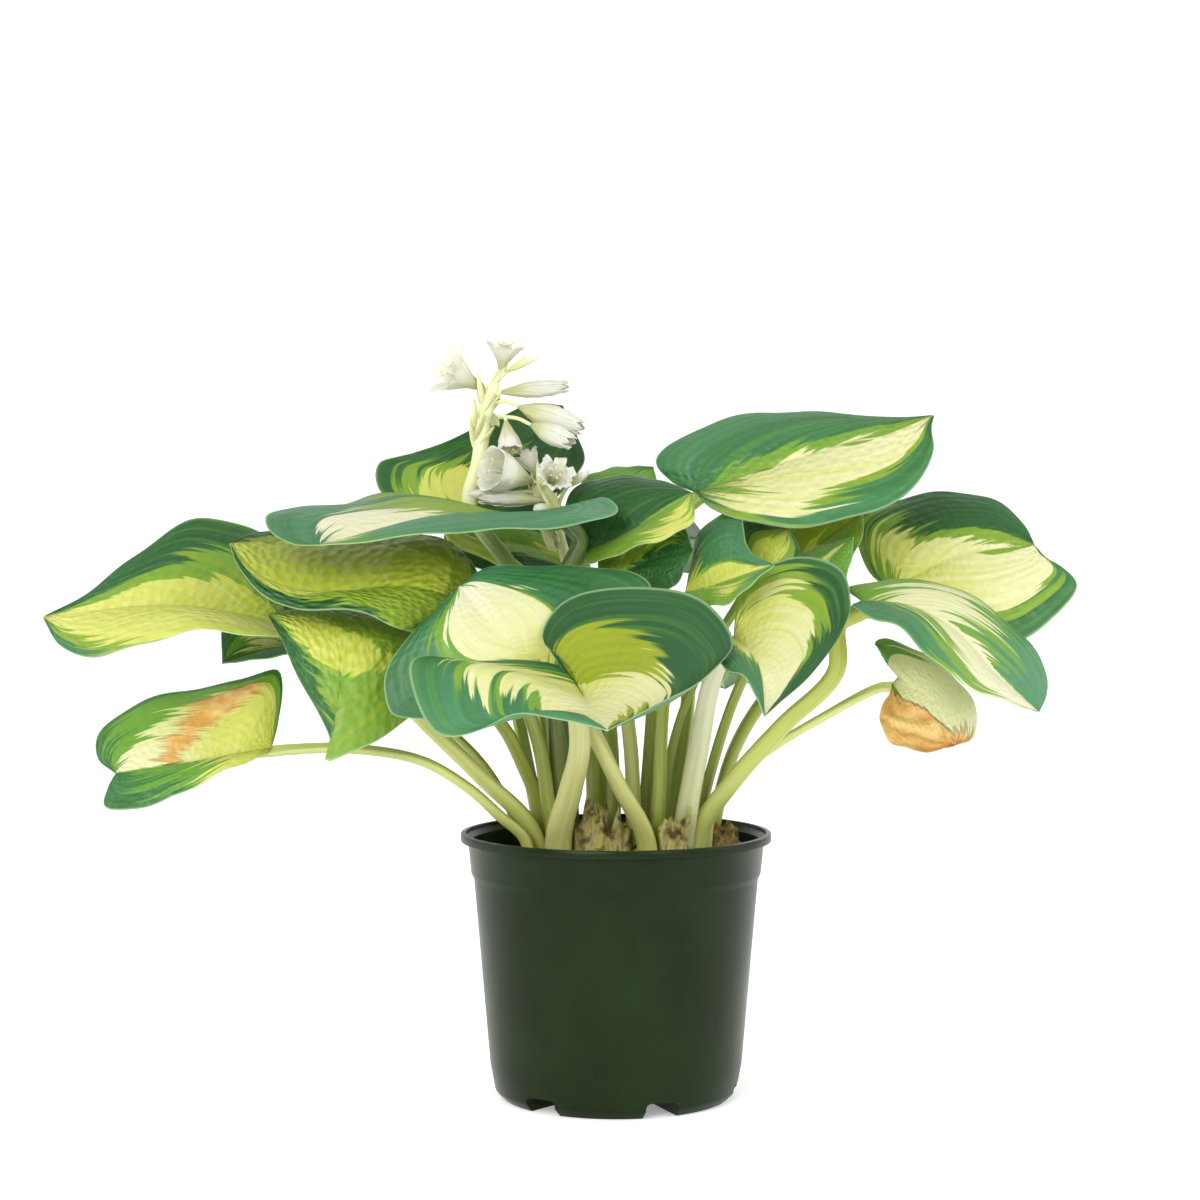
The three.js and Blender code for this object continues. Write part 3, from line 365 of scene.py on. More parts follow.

# How each leaf is marked. An area is given at some places across the leaf: a place's u, and the shares of the
# leaf's length where the area starts and ends, with 0 and 1 for an area that runs on over the end.
# cream is the pale centre, mid the lighter green round it, over a green streak on the cream, and brown what
# has withered.
# gold and wax are given at the stalk and at the tip. gold takes the cream from white (-1) through cream (0)
# and yellow (1) to lime (2), and wax turns the dark green bluish: partly the waxy bloom's own colour and
# partly a painted sheen, the light that the wax reflects.
# sun, deep, fan and slant are given on the left and on the right. sun turns the mid green to lime, and
# deep is painted shade: it darkens the dark green where a leaf or one of its halves lies in shade. fan
# is how steeply the veins leave the midrib, and slant is how far out they keep their distance, with 1 where
# none of them runs out over the margin.
# puckers is the depth of the dimples.
PLAIN_PAINT = {
    "cream": [(-0.3, 0, 0.55), (0, 0, 1), (0.3, 0, 0.6)],
    "mid": [(-0.55, 0, 0.6), (0, 0, 1), (0.5, 0, 0.7)],
    "over": [], "brown": [], "gold": (1.0, 0.2), "sun": (0.4, 0.4), "deep": (0.5, 0.5), "wax": (0.2, 0.6),
    "fan": (1.2, 1.2), "slant": (1, 1), "puckers": 0.35,
}
PAINT = {
    "leaf_far_left": {
        "cream": [(-0.38, 0, 0.25), (-0.28, 0, 0.5), (-0.2, 0, 0.82), (-0.05, 0, 1), (0.3, 0, 1),
                  (0.45, 0, 0.94), (0.7, 0, 0.8), (0.95, 0, 0.63), (1, 0, 0.55)],
        "mid": [(-0.75, 0, 0.25), (-0.45, 0, 0.5), (-0.28, 0, 1), (0.5, 0, 1), (0.8, 0, 0.86),
                (1, 0, 0.7)],
        "gold": (1.95, 0.7), "sun": (0.5, 0.35), "deep": (0.1, 0.5), "wax": (0, 0.35), "fan": (0.9, 1.4),
        "puckers": 0.8,
    },
    "leaf_left_small": {
        "cream": [(-0.32, 0.6, 0.72), (-0.15, 0.46, 0.74), (-0.04, 0.4, 0.6)],
        "mid": [(-0.6, 0.65, 0.85), (-0.2, 0.4, 0.9), (0, 0.35, 0.75), (0.05, 0.4, 0.5)],
        "gold": (0, 0), "sun": (0.1, 0.1), "wax": (0.5, 0.7), "fan": (3, 1), "slant": (0.67, 1),
    },
    "leaf_low_left": {
        "cream": [(-0.82, 0.16, 0.4), (-0.7, 0.05, 0.58), (-0.5, 0, 0.74), (-0.35, 0, 0.86),
                  (-0.2, 0, 0.98), (-0.06, 0, 1), (0.03, 0, 0.5), (0.15, 0, 0.4), (0.5, 0, 0.38),
                  (1, 0, 0.33)],
        "mid": [(-0.95, 0, 0.8), (-0.5, 0, 0.95), (0, 0, 1), (0.2, 0, 0.75), (1, 0, 0.5)],
        "brown": [(-0.9, 0.28, 0.33), (-0.8, 0.27, 0.45), (-0.55, 0.32, 0.57), (-0.3, 0.45, 0.64),
                  (-0.1, 0.56, 0.7), (0, 0.62, 0.68)],
        "gold": (1.7, -0.6), "sun": (0.05, 0.15), "deep": (0, 0), "wax": (0.1, 0.25), "fan": (2.5, 2),
        "slant": (0.8, 1), "puckers": 0.5,
    },
    "leaf_left": {
        "cream": [(-0.68, 0.5, 0.75), (-0.6, 0.3, 0.95), (-0.3, 0.12, 1), (-0.05, 0.05, 1), (0.03, 0.45, 1),
                  (0.3, 0.52, 1), (0.5, 0.6, 0.97), (0.62, 0.72, 0.9)],
        "mid": [(-0.95, 0.1, 0.5), (-0.75, 0, 0.95), (-0.3, 0, 1), (0.3, 0, 1), (0.62, 0.1, 1),
                (0.72, 0.2, 0.55), (1, 0.25, 0.4)],
        "gold": (2.0, 1.6), "sun": (0.6, 0.8), "deep": (0.6, 0.6), "wax": (0, 0), "fan": (2.6, 2.6),
        "slant": (0.4, 0.35), "puckers": 1.3,
    },
    "leaf_upper_left": {
        "cream": [(-0.5, 0.7, 0.84), (-0.42, 0.58, 0.9), (-0.3, 0.5, 0.94), (-0.1, 0.43, 0.97),
                  (0, 0.46, 0.96), (0.06, 0.89, 0.96), (0.5, 0.93, 0.97)],
        "mid": [(-1, 0.3, 0.46), (-0.6, 0.28, 0.5), (-0.3, 0.3, 0.55), (-0.05, 0.35, 1), (0.06, 0.8, 1),
                (1, 0.9, 1)],
        "gold": (-0.5, -0.6), "sun": (0.2, 0.6), "deep": (0, 0.2), "wax": (0.9, 0.55), "fan": (1.5, 1.5),
        "puckers": 0.6,
    },
    "leaf_top_back": {
        "cream": [(-0.25, 0, 0.12), (-0.1, 0, 0.3), (0.1, 0, 0.42), (0.35, 0.05, 0.4), (0.55, 0.12, 0.34),
                  (0.7, 0.18, 0.28)],
        "mid": [(-0.4, 0, 0.2), (-0.1, 0, 0.5), (0.2, 0, 0.55), (0.5, 0.05, 0.5), (0.8, 0.1, 0.4)],
        "gold": (1.2, 1.2), "sun": (0.4, 0.2), "deep": (0.5, 0.9), "wax": (0.1, 0.1),
    },
    "leaf_hanging_left": {
        "cream": [(-0.28, 0.72, 0.86), (-0.12, 0.62, 0.93), (0, 0.36, 0.96), (0.15, 0.3, 0.94),
                  (0.3, 0.38, 0.92), (0.4, 0.6, 0.8)],
        "mid": [(-1, 0, 1), (0.35, 0, 1), (0.55, 0, 0.7), (1, 0, 0.6)],
        "gold": (1.9, 1.3), "sun": (0.4, 0.5), "deep": (0.3, 0.1), "wax": (0, 0), "fan": (2, 2),
        "slant": (0.5, 0.5), "puckers": 1.0,
    },
    "leaf_front_back": {
        "cream": [(-0.46, 0.72, 0.97), (-0.28, 0.36, 0.97), (-0.14, 0.14, 1), (0, 0.12, 1), (0.12, 0.25, 1),
                  (0.26, 0.48, 0.97), (0.4, 0.74, 0.97)],
        "mid": [(-0.5, 0.7, 0.9), (-0.4, 0.4, 0.98), (-0.15, 0, 1), (0.12, 0, 1), (0.42, 0.42, 0.98),
                (0.6, 0.74, 0.85)],
        "gold": (1.3, -0.9), "sun": (0.2, 0.25), "deep": (0.2, 0.2), "wax": (0.1, 0.6), "fan": (0.8, 0.8),
    },
    "leaf_front": {
        "cream": [(-0.86, 0.3, 0.34), (-0.6, 0.23, 0.42), (-0.4, 0.2, 0.46), (-0.3, 0.2, 0.56),
                  (-0.2, 0.05, 0.8), (-0.12, 0, 1), (0.1, 0, 1), (0.14, 0.3, 0.8), (0.3, 0.48, 0.74),
                  (0.52, 0.6, 0.68)],
        "mid": [(-0.8, 0.3, 0.36), (-0.6, 0.22, 0.44), (-0.36, 0.12, 0.54), (-0.15, 0, 1), (0.1, 0, 1),
                (0.3, 0, 0.76), (0.5, 0, 0.64), (0.64, 0.05, 0.4), (0.74, 0.15, 0.25)],
        "gold": (0.9, -0.3), "sun": (1.0, 0.35), "deep": (0.75, 0.1), "wax": (0, 0.95), "fan": (2, 2),
    },
    "leaf_inner_mid": {
        "cream": [(-1, 0.55, 0.8), (-0.6, 0.6, 0.9), (-0.3, 0.75, 0.95)],
        "mid": [(-1, 0, 1), (-0.1, 0.1, 1), (0.1, 0.9, 1)],
        "gold": (1.2, 1.2), "sun": (0.2, 0.35), "deep": (0.7, 0.3), "wax": (0, 0), "fan": (1, 3),
        "slant": (1, 0.67),
    },
    "leaf_inner_low": {
        "cream": [(0.3, 0.4, 0.6), (0.5, 0.3, 0.7), (0.8, 0.3, 0.6)],
        "mid": [(0, 0, 0.3), (0.3, 0, 0.75), (1, 0, 0.8)],
        "gold": (1.9, 1.6), "sun": (0.5, 0.1), "deep": (0.8, 0.6), "wax": (0, 0.1), "fan": (3, 1),
        "slant": (0.67, 1),
    },
    "leaf_top_right": {
        "cream": [(-1, 0.2, 0.27), (-0.88, 0.2, 0.38), (-0.72, 0.19, 0.5), (-0.6, 0.18, 0.66),
                  (-0.5, 0.18, 0.97), (-0.15, 0.2, 1), (-0.1, 0.24, 0.72), (0, 0.34, 0.66),
                  (0.05, 0.45, 0.6)],
        "mid": [(-1, 0.12, 0.32), (-0.7, 0.1, 0.56), (-0.5, 0.05, 1), (0, 0.05, 1), (0.12, 0.1, 1),
                (0.2, 0.3, 0.6)],
        "gold": (0.6, 0.0), "sun": (0.3, 0.5), "deep": (0, 0), "wax": (0.5, 0.2), "fan": (1.6, 1.8),
        "puckers": 1.1,
    },
    "leaf_right": {
        "cream": [(-0.7, 0.55, 0.66), (-0.6, 0.4, 0.97), (-0.5, 0.25, 1), (-0.15, 0, 1), (-0.1, 0, 0.74),
                  (0.1, 0.05, 0.7), (0.18, 0.1, 0.68), (0.26, 0.12, 0.4), (0.45, 0.2, 0.34),
                  (0.72, 0.24, 0.3)],
        "mid": [(-0.8, 0.3, 0.75), (-0.6, 0, 1), (0, 0, 1), (0.22, 0, 1), (0.32, 0, 0.5), (0.6, 0.05, 0.42),
                (0.9, 0.1, 0.35)],
        "gold": (1.3, -0.4), "sun": (0.4, 0.4), "deep": (0.6, 0.2), "wax": (0, 0.35), "fan": (0.9, 1.0),
        "puckers": 0.6,
    },
    "leaf_right_drooping": {
        "cream": [(-1, 0.72, 0.95), (-0.8, 0.62, 1), (-0.5, 0.44, 1), (-0.2, 0.22, 1), (0, 0.1, 1),
                  (0.06, 0.1, 0.56), (0.3, 0.18, 0.53), (0.6, 0.26, 0.5), (1, 0.32, 0.47)],
        "mid": [(-1, 0.6, 0.95), (-0.3, 0.12, 1), (0, 0, 1), (0.1, 0, 0.7), (1, 0.05, 0.56)],
        "over": [(-0.85, 0.6, 0.72), (-0.5, 0.42, 0.57), (-0.2, 0.3, 0.42), (-0.1, 0.3, 0.36)],
        "gold": (0.1, -0.8), "sun": (0.25, 0.3), "deep": (0, 0), "wax": (0.4, 0.95), "fan": (2.5, 2.5),
        "slant": (0.8, 0.8),
    },
    "leaf_right_front": {
        "cream": [(-0.5, 0.05, 0.2), (-0.38, 0.04, 0.33), (-0.15, 0.02, 0.36), (-0.04, 0, 0.5), (0, 0, 1),
                  (0.42, 0, 1), (0.5, 0, 0.72), (0.6, 0.05, 0.5), (0.8, 0.05, 0.3)],
        "mid": [(-0.6, 0.05, 0.35), (-0.3, 0, 0.5), (-0.05, 0, 0.6), (0, 0, 1), (0.42, 0, 1), (0.5, 0, 0.8),
                (0.7, 0, 0.5), (0.85, 0, 0.35), (1, 0, 0.25)],
        "gold": (1.2, -0.5), "sun": (0.5, 0.1), "deep": (0.75, 0.2), "wax": (0, 0.8), "fan": (2, 1),
    },
    "leaf_folded": {
        "cream": [(-0.75, 0.5, 0.62), (-0.5, 0.46, 0.7), (-0.3, 0.5, 0.66), (-0.1, 0.1, 0.16),
                  (0.02, 0, 0.3), (0.04, 0, 0.93), (0.2, 0, 0.92), (0.26, 0, 0.2), (0.6, 0, 0.14)],
        "mid": [(-1, 0.15, 0.75), (-0.5, 0, 0.85), (0, 0, 1), (0.22, 0, 0.95), (0.3, 0, 0.3),
                (1, 0, 0.22)],
        "gold": (1.9, 0.9), "sun": (0.4, 0.3), "deep": (0.1, 0.1), "wax": (0.1, 0.8), "fan": (0.6, 2.5),
        "slant": (1, 0.8),
    },
    "leaf_young_right": {
        "cream": [(-0.5, 0.6, 0.8), (-0.2, 0.3, 0.95), (0.1, 0.2, 0.9), (0.3, 0.4, 0.7)],
        "mid": [(-0.8, 0, 1), (0.6, 0, 1)],
        "gold": (1.9, 1.5), "sun": (0.6, 0.5), "wax": (0, 0.1),
    },
    "leaf_young_outer": {
        "cream": [(-0.15, 0.5, 0.65), (0, 0.4, 0.85), (0.1, 0.5, 0.7)],
        "mid": [(-1, 0, 1), (1, 0, 1)],
        "gold": (0.8, 0.6), "sun": (0.1, 0.1), "wax": (0.2, 0.2),
    },
    "leaf_low_right": {
        "cream": [(-0.4, 0, 0.3), (-0.15, 0, 1), (0.5, 0, 1), (0.62, 0.3, 1), (1, 0.5, 1)],
        "mid": [(-1, 0, 1), (1, 0, 1)],
        "brown": [(-1, 0, 1), (-0.6, 0.1, 1), (-0.32, 0.25, 1), (-0.2, 0.45, 1), (-0.05, 0.75, 1),
                  (0.1, 0.86, 1), (0.9, 0.86, 1)],
        "gold": (0.2, -0.3), "sun": (0.1, 0.3), "wax": (0.2, 0.3), "puckers": 0.35,
    },
    "leaf_back_sliver": {
        "cream": [(-0.1, 0, 0.3), (0.1, 0, 0.3)],
        "mid": [(-1, 0, 1), (1, 0, 0.8)],
        "gold": (1.5, 1.5), "sun": (0.1, 0.1), "deep": (0.2, 0.2), "wax": (0, 0),
    },
    "leaf_right_inner": {
        "cream": [(-0.15, 0.1, 0.5), (0.15, 0, 0.55)],
        "mid": [(-1, 0, 1), (1, 0, 1)],
        "gold": (1.6, 1.2), "sun": (0.75, 0.5), "wax": (0, 0),
    },
    # Painted shade: this leaf's dark green is darkened almost fully, for the shade that it fills.
    "leaf_inner_back": {
        "cream": [(-0.1, 0, 0.3), (0.1, 0, 0.3)],
        "mid": [(-0.4, 0, 0.6), (0, 0, 1), (0.4, 0, 0.6)],
        "gold": (1.5, 1.5), "sun": (0.3, 0.3), "deep": (0.9, 0.9), "wax": (0, 0),
    },
}

# A stalk's colour at its top and at its foot, as a screen shows it.
PALE_STALK = ((206, 206, 142), (146, 147, 52))
GREEN_STALK = ((152, 176, 62), (146, 150, 48))
OLIVE_STALK = ((160, 170, 60), (136, 144, 40))
STALKS = {
    "leaf_far_left": ((204, 208, 130), (180, 182, 78)),
    "leaf_low_left": ((180, 188, 108), (168, 172, 80)),
    "leaf_front": PALE_STALK,
    "leaf_front_back": ((206, 208, 134), (156, 157, 58)),
    "leaf_inner_low": ((186, 192, 112), (150, 156, 58)),
    "leaf_right_front": ((226, 226, 198), (170, 174, 84)),
    "leaf_right_drooping": ((176, 186, 66), (190, 194, 112)),
    "leaf_low_right": ((208, 214, 132), (198, 204, 118)),
    "leaf_left": OLIVE_STALK,
    "leaf_upper_left": ((70, 104, 38), (138, 146, 44)),
    "leaf_hanging_left": OLIVE_STALK,
}

SAMPLES = 400  # places that a curve is kept as, but for its first
CURVE_STEPS = 60  # between two of a curve's given points, before they are spaced evenly
NEAR = 1e-6
TINY = 1e-12
HEADING_STEP = 0.005  # the share of a curve to each side over which its direction is taken

# Blades. u is the place across, from -1 at the right margin to 1 at the left, and v the place along, from 0
# at the stalk to 1 at the tip.
BLADE_HALF = 0.3  # half the blade's thickness
BLADE_STEP = 0.01  # in u and v, for the blade's normals
BLADE_END = 0.03  # how near to its ends the normals are taken
FINE_GRID = (120, 62)  # faces across and along a blade
SMALL_GRID = (64, 38)
SMALL_LEAVES = {"leaf_left_small", "leaf_inner_low", "leaf_young_right", "leaf_young_outer",
                "leaf_back_sliver", "leaf_right_inner", "leaf_inner_back"}
VEINS = 7  # on each half of a blade, where it leaves the stalk
VEIN_RELIEF = 0.06  # height of a rib between two veins, as a share of its width
RIB_LIMIT = 0.8  # the most that a rib rises from its foot
RIB_END = 6  # how steeply the ribs sink towards the margin
RIGHT_VEINS = 5  # sets the right half's streaks apart from the left half's
PALE_RELIEF = 0.45  # how high the ribs are on the cream, as a share of the others
MIDRIB_DEPTH = 0.25
MIDRIB_WIDTH = 0.05  # in u
WAVE_HEIGHT = 0.8
WAVES = 4.5  # along each margin
WAVE_SHIFT = 1.5  # of the waves, forwards on the left and backwards on the right, in radians
CRUMPLE = 1.3  # height of the folds where the leaf has withered
AREA_SIDE = 2.4  # how fast an area gets deeper from its sides inwards, for each u
AREA_EDGE = 8  # how fast the relief changes at an area's edge
BEYOND = 0.2  # how far an area that runs on over an end goes past it
SIDE_BLEND = 6  # how fast what the left half has gives way to what the right half has, for each u
FADE = 0.25  # the share of its length over which something sets in
LEAF_SHIFT = 0.37  # between the random patterns of one leaf and the next
BACK_SHIFT = 11  # between those of the front and the back leaves
# A half margin of a leaf at the back: how far along the blade and how far out each point lies, as shares.
HALF_MARGIN = [[-0.14, 0.36], [-0.06, 0.78], [0.2, 1], [0.5, 0.86], [0.8, 0.42]]
BACK_RISE = 6  # of the margin, from the navel to the tip
BACK_ARCH = 7  # of the midrib's middle
BACK_SWELL = 4

# Stalks, with a flattened and grooved upper side.
STALK_SIDES = 20
STALK_ROWS = 56
STALK_FOOT = 104
STALK_TOP = 0.6  # height of the upper side, in radii
GROOVE = {"depth": 0.26, "width": 0.6}  # in radii, and in radians
JOINT_DEPTH = 0.6  # of the stalk's middle below the blade, in radii
JOINT_RUN = 2.5  # how far the stalk's end runs on in the midrib's direction, in radii
JOINT_TWIST = 0.15  # the place along the blade whose slope from side to side the stalk's end takes
BESIDE_RIB = 0.3  # in u
RIB_ROWS = 14
RIB_SHARE = 0.72  # how far the rib below the blade runs towards the tip
RIB_THIN = 0.45  # where it is thin already
RIB_RADII = (0.9, 0.35)  # there, and at its end
TINT_BEND = 0.8  # the colour's change along the stalk, less than 1 where most of it is near the foot

# The pot's outside and inside, as radius and height from the middle of the floor to the rim.
RIM_RADIUS = 82.5
FLOOR = 2.2  # thickness of the pot's floor
WAIST = 18.5  # height of a slight bend, where the wall above the foot gets straight
POT_OUTSIDE = [
    (0, 0), (58.5, 0), (60.2, 0.3), (64.1, 4.1), (64.5, 5.2), (67, WAIST), (75.4, 116), (75.6, 117),
    (76.7, 119.2), (77, 120.2), (78.5, 135.9), (78.9, 136.5), (81.9, 136.5), (82.4, 136.8),
    (RIM_RADIUS, 137.3), (RIM_RADIUS, 140.1), (82.2, 140.8), (81.5, 141), (0, 141),
]
POT_INSIDE = [
    (0, FLOOR), (61.5, FLOOR), (65.3, WAIST), (73.4, 115), (75.3, 122.5), (76.8, 136.5), (79.4, 139),
    (79.9, 142), (0, 142),
]
POT_SIDES = 160
POT_SHARP = 32  # the angle from which an edge of the pot is sharp
SHARP = 50  # and one of the other pieces
DOUBLE = 0.001  # how near two points are that are joined
WALL = 1.8  # of a drain channel
CLEAR = 0.35  # between the soil and the pot's floor and channels
DRAINS = 6
DRAIN_TURN = 22  # where the first channel points
DRAIN_WIDTH = 19
DRAIN_HEIGHT = 8.6
DRAIN_CORNER = 2.5
DRAIN_START = 24
SLOT = {"length": 10, "width": 6, "radius": 50}

# The soil: its height at the wall and at the crown, how far the mound spreads in x and y, and a heap on it.
SOIL_EDGE = 116
SOIL_CROWN = 129
CROWN_SPREAD = (50, 38)
HEAP = {"x": 57, "y": 16, "height": 9, "spread": 15}
SOIL_RADIUS = 72.9
SOIL_FOOT = 61
SOIL_WAIST = 64.8
SOIL_SIDES = 180
SOIL_ROWS = 70
SOIL_ROUGH = 1.1
CRUMBS = 620
CRUMB_SIZES = [0.9, 1.2, 1.6, 2.3]
CRUMB_SEED = 5

# Blooms: their radius as shares of half their width, at the lower and the upper waist and at the petals'
# ends. The waists lie at two shares of their length.
LOW_SHARE = 0.32
HIGH_SHARE = 0.56
BLOOM_FORMS = {
    "open": {"low": 0.25, "high": 0.5, "petal": 1},
    "bell": {"low": 0.5, "high": 0.8, "petal": 1},
    "closed": {"low": 0.85, "high": 1, "petal": 0.6},
}
PETALS = 6
PETAL_HALF = 0.22  # half a petal's thickness
PETAL_REACH = 0.06  # how much shorter some petals are
PETAL_OUTLINE = [[0, 0.3, 0.6, 0.76, 0.88, 0.95, 1], [1, 1, 1.02, 1.05, 0.86, 0.55, 0.02]]
PETAL_FULLNESS = {"bloom_star": 0.56, "bloom_top": 0.6}  # how broad the petals are
PLAIN_FULLNESS = 0.64
RUFFLE = {"bloom_ruffled": 1.3}  # height of the waves at the petals' margins
PLAIN_RUFFLE = 0.35
PETAL_BROADEST = 1.12  # times the upper waist
PETAL_SPREAD = 35  # half the angle that a petal takes up at most
PETAL_FOLD = 0.05  # depth of the petal's middle line
INNER_STEP = 0.4  # how far the inner whorl stands inside the outer one
TIP_CURL = 0.10  # how far open petals bend back, as a share of the bloom's length
STAMEN_RADIUS = 0.24
ANTHER_RADIUS = 0.55
ANTHER_HALF = 1.1  # half its length
BUD_SHAPE = [[0, 0.15, 0.3, 0.48, 0.62, 0.75, 0.85, 0.95, 1],
             [0.36, 0.6, 0.82, 0.97, 1, 0.88, 0.66, 0.3, 0.05]]
BUD_ROWS = 28
BUD_SIDES = 24
BUD_RIDGE = 0.06

# Flower stems and their bracts.
STEM_ROWS = 90
STEM_SIDES = 18
STEM_UNEVEN = 0.03
STEM_STOUT = 0.15  # how much thicker the stem is in its upper half
STEM_END = [0.9, 0.7, 0.35]  # how its last rings close
PEDICEL_RADII = (1.25, 1.0)
PEDICEL_ROWS = 12
PEDICEL_ALONG = 0.95  # the share of the stem whose colour a small stalk has
BRACT_ALONG = 0.98  # and the one whose colour a bract has
PEDICEL_GAP = 0.18  # between a small stalk's end and its bloom
# Bracts round the upper end of a flower stem: how many there are, their size and how steeply they rise.
BRACTS = {"flower_stem_tall": (9, 1.5, 0.9), "flower_stem_low": (18, 2.2, 0.35)}
BRACT_ARC = {"flower_stem_tall": (0, 360), "flower_stem_low": (105, 130)}  # where they start, how far round
BRACTS_FROM = 0.87  # the shares of the stem's length where they begin and end
BRACTS_TO = 0.99
BRACT_STEP = 0.38  # from one bract to the next, as a share of the arc
BRACT_LENGTH = (9, 13)
BRACT_WIDTH = (2.2, 3.2)
BRACT_SINK = 4  # how far its foot reaches into the stem
BRACT_HALF = 0.2  # half its thickness

# Dry leaf bases: each layer's share of the height, and how far it leans aside.
SHEATH_LAYERS = [(1, 0.1), (0.8, -0.3), (0.62, 0.3), (0.45, -0.1)]
SHEATH_OUTLINE = [[0, 0.3, 0.6, 0.85, 1], [1.15, 1.12, 1.05, 1.0, 0.92]]
SHEATH_HALF = 0.25

# The stage, in metres: the floor's bend behind the plant, and each light's place, size and watts.
FLOOR_FRONT = -4.0
FLOOR_BACK = 2.4
FLOOR_BEND = 1.2
FLOOR_TOP = 4.0
FLOOR_SIDE = 5.0
LIGHT_AIM = (0, 0, 0.25)
LIGHTS = {
    "key": ((-0.8, -2.0, 1.15), 1.2, 44),
    "fill": ((1.1, -1.8, 0.9), 1.0, 14),
    "left": ((-1.5, 0.1, 0.7), 1.2, 6),
    "right": ((1.5, -0.1, 0.8), 1.2, 9),
}
ROOM_LIGHT = 0.85  # the room's brightness above and at the sides
ROOM_FRONT = 0.4
CAMERA_PLACE = (-0.0085, -1.5, 0.327)
CAMERA_PITCH = 2.4  # downwards
LENS = 85
SENSOR = 36


def unit(a):
    """The direction of one vector or of each of several."""
    return a / np.maximum(np.linalg.norm(a, axis=-1, keepdims=True), TINY)


def curve_of(points):
    """A smooth curve through some points, as places evenly spaced along it."""
    p = np.array(points, float)
    p = np.vstack([2 * p[0] - p[1], p, 2 * p[-1] - p[-2]])
    s = np.linspace(0, 1, CURVE_STEPS, endpoint=False)[:, None]
    runs = []
    for a, b, c, d in zip(p, p[1:], p[2:], p[3:]):
        d0, d1, d2 = (max(np.linalg.norm(q - r), NEAR) ** 0.5 for q, r in ((b, a), (c, b), (d, c)))
        m1 = ((b - a) / d0 - (c - a) / (d0 + d1) + (c - b) / d1) * d1
        m2 = ((c - b) / d1 - (d - b) / (d1 + d2) + (d - c) / d2) * d1
        runs.append(b + m1 * s + (3 * (c - b) - 2 * m1 - m2) * s**2 + (2 * (b - c) + m1 + m2) * s**3)
    places = np.vstack([*runs, p[-2:-1]])
    run = np.concatenate([[0], np.cumsum(np.linalg.norm(np.diff(places, axis=0), axis=1))])
    even = np.linspace(0, run[-1], SAMPLES + 1)
    return np.stack([np.interp(even, run, places[:, k]) for k in range(3)], axis=1)


def at(curve, share):
    """The places at some shares of a curve's length."""
    place = np.clip(share, 0, 1) * SAMPLES
    low = np.minimum(place.astype(int), SAMPLES - 1)
    part = (place - low)[..., None]
    return curve[low] * (1 - part) + curve[low + 1] * part


def heading(curve, share):
    """The directions of a curve at some shares of its length."""
    share = np.asarray(share, float)
    after, before = np.minimum(share + HEADING_STEP, 1), np.maximum(share - HEADING_STEP, 0)
    return unit(at(curve, after) - at(curve, before))


def ramp(value, start, slope):
    """0 up to a start, and from there a straight rise to 1."""
    return np.clip((value - start) * slope, 0, 1)


def fade_in(v):
    """0 at the start of something's length, 1 from a quarter of it on."""
    return np.clip(v / FADE, 0, 1)


def placed(name, data):
    """A new object in the scene."""
    made = bpy.data.objects.new(name, data)
    bpy.context.scene.collection.objects.link(made)
    return made


class Blade:
    """A leaf's blade, whose places are found by u, across, and v, along."""

    def __init__(self, leaf):
        navel, tip = leaf["rib"][0], leaf["rib"][-1]
        self.rib = curve_of(leaf["rib"])
        self.left = curve_of([navel, *leaf["left"], tip])
        self.right = curve_of([navel, *leaf["right"], tip])
        self.swell = leaf["swell"]

    def margin(self, u, v):
        """The places of the margin beside some places."""
        return np.where(u[..., None] < 0, at(self.right, v), at(self.left, v))

    def place(self, u, v):
        """The places between the midrib and the margin, without any swell."""
        off = np.abs(u)[..., None]
        return at(self.rib, v) * (1 - off) + self.margin(u, v) * off

    def normal(self, u, v):
        """The directions in which the upper side faces."""
        u, v = np.clip(u, BLADE_STEP - 1, 1 - BLADE_STEP), np.clip(v, BLADE_END, 1 - BLADE_END)
        across = self.place(u + BLADE_STEP, v) - self.place(u - BLADE_STEP, v)
        along = self.place(u, v + BLADE_STEP) - self.place(u, v - BLADE_STEP)
        return unit(np.cross(along, across))

    def raised(self, u, v, lift):
        """The places of the swelling blade, lifted off it."""
        off = np.abs(u)
        swell = np.where(u < 0, self.swell[1], self.swell[0]) * 4 * off * (1 - off) * np.sin(np.pi * v)
        return self.place(u, v) + self.normal(u, v) * (swell + lift)[..., None]

    def half_width(self, u, v):
        """How wide the blade's half is at some places."""
        return np.linalg.norm(self.margin(u, v) - at(self.rib, v), axis=-1)


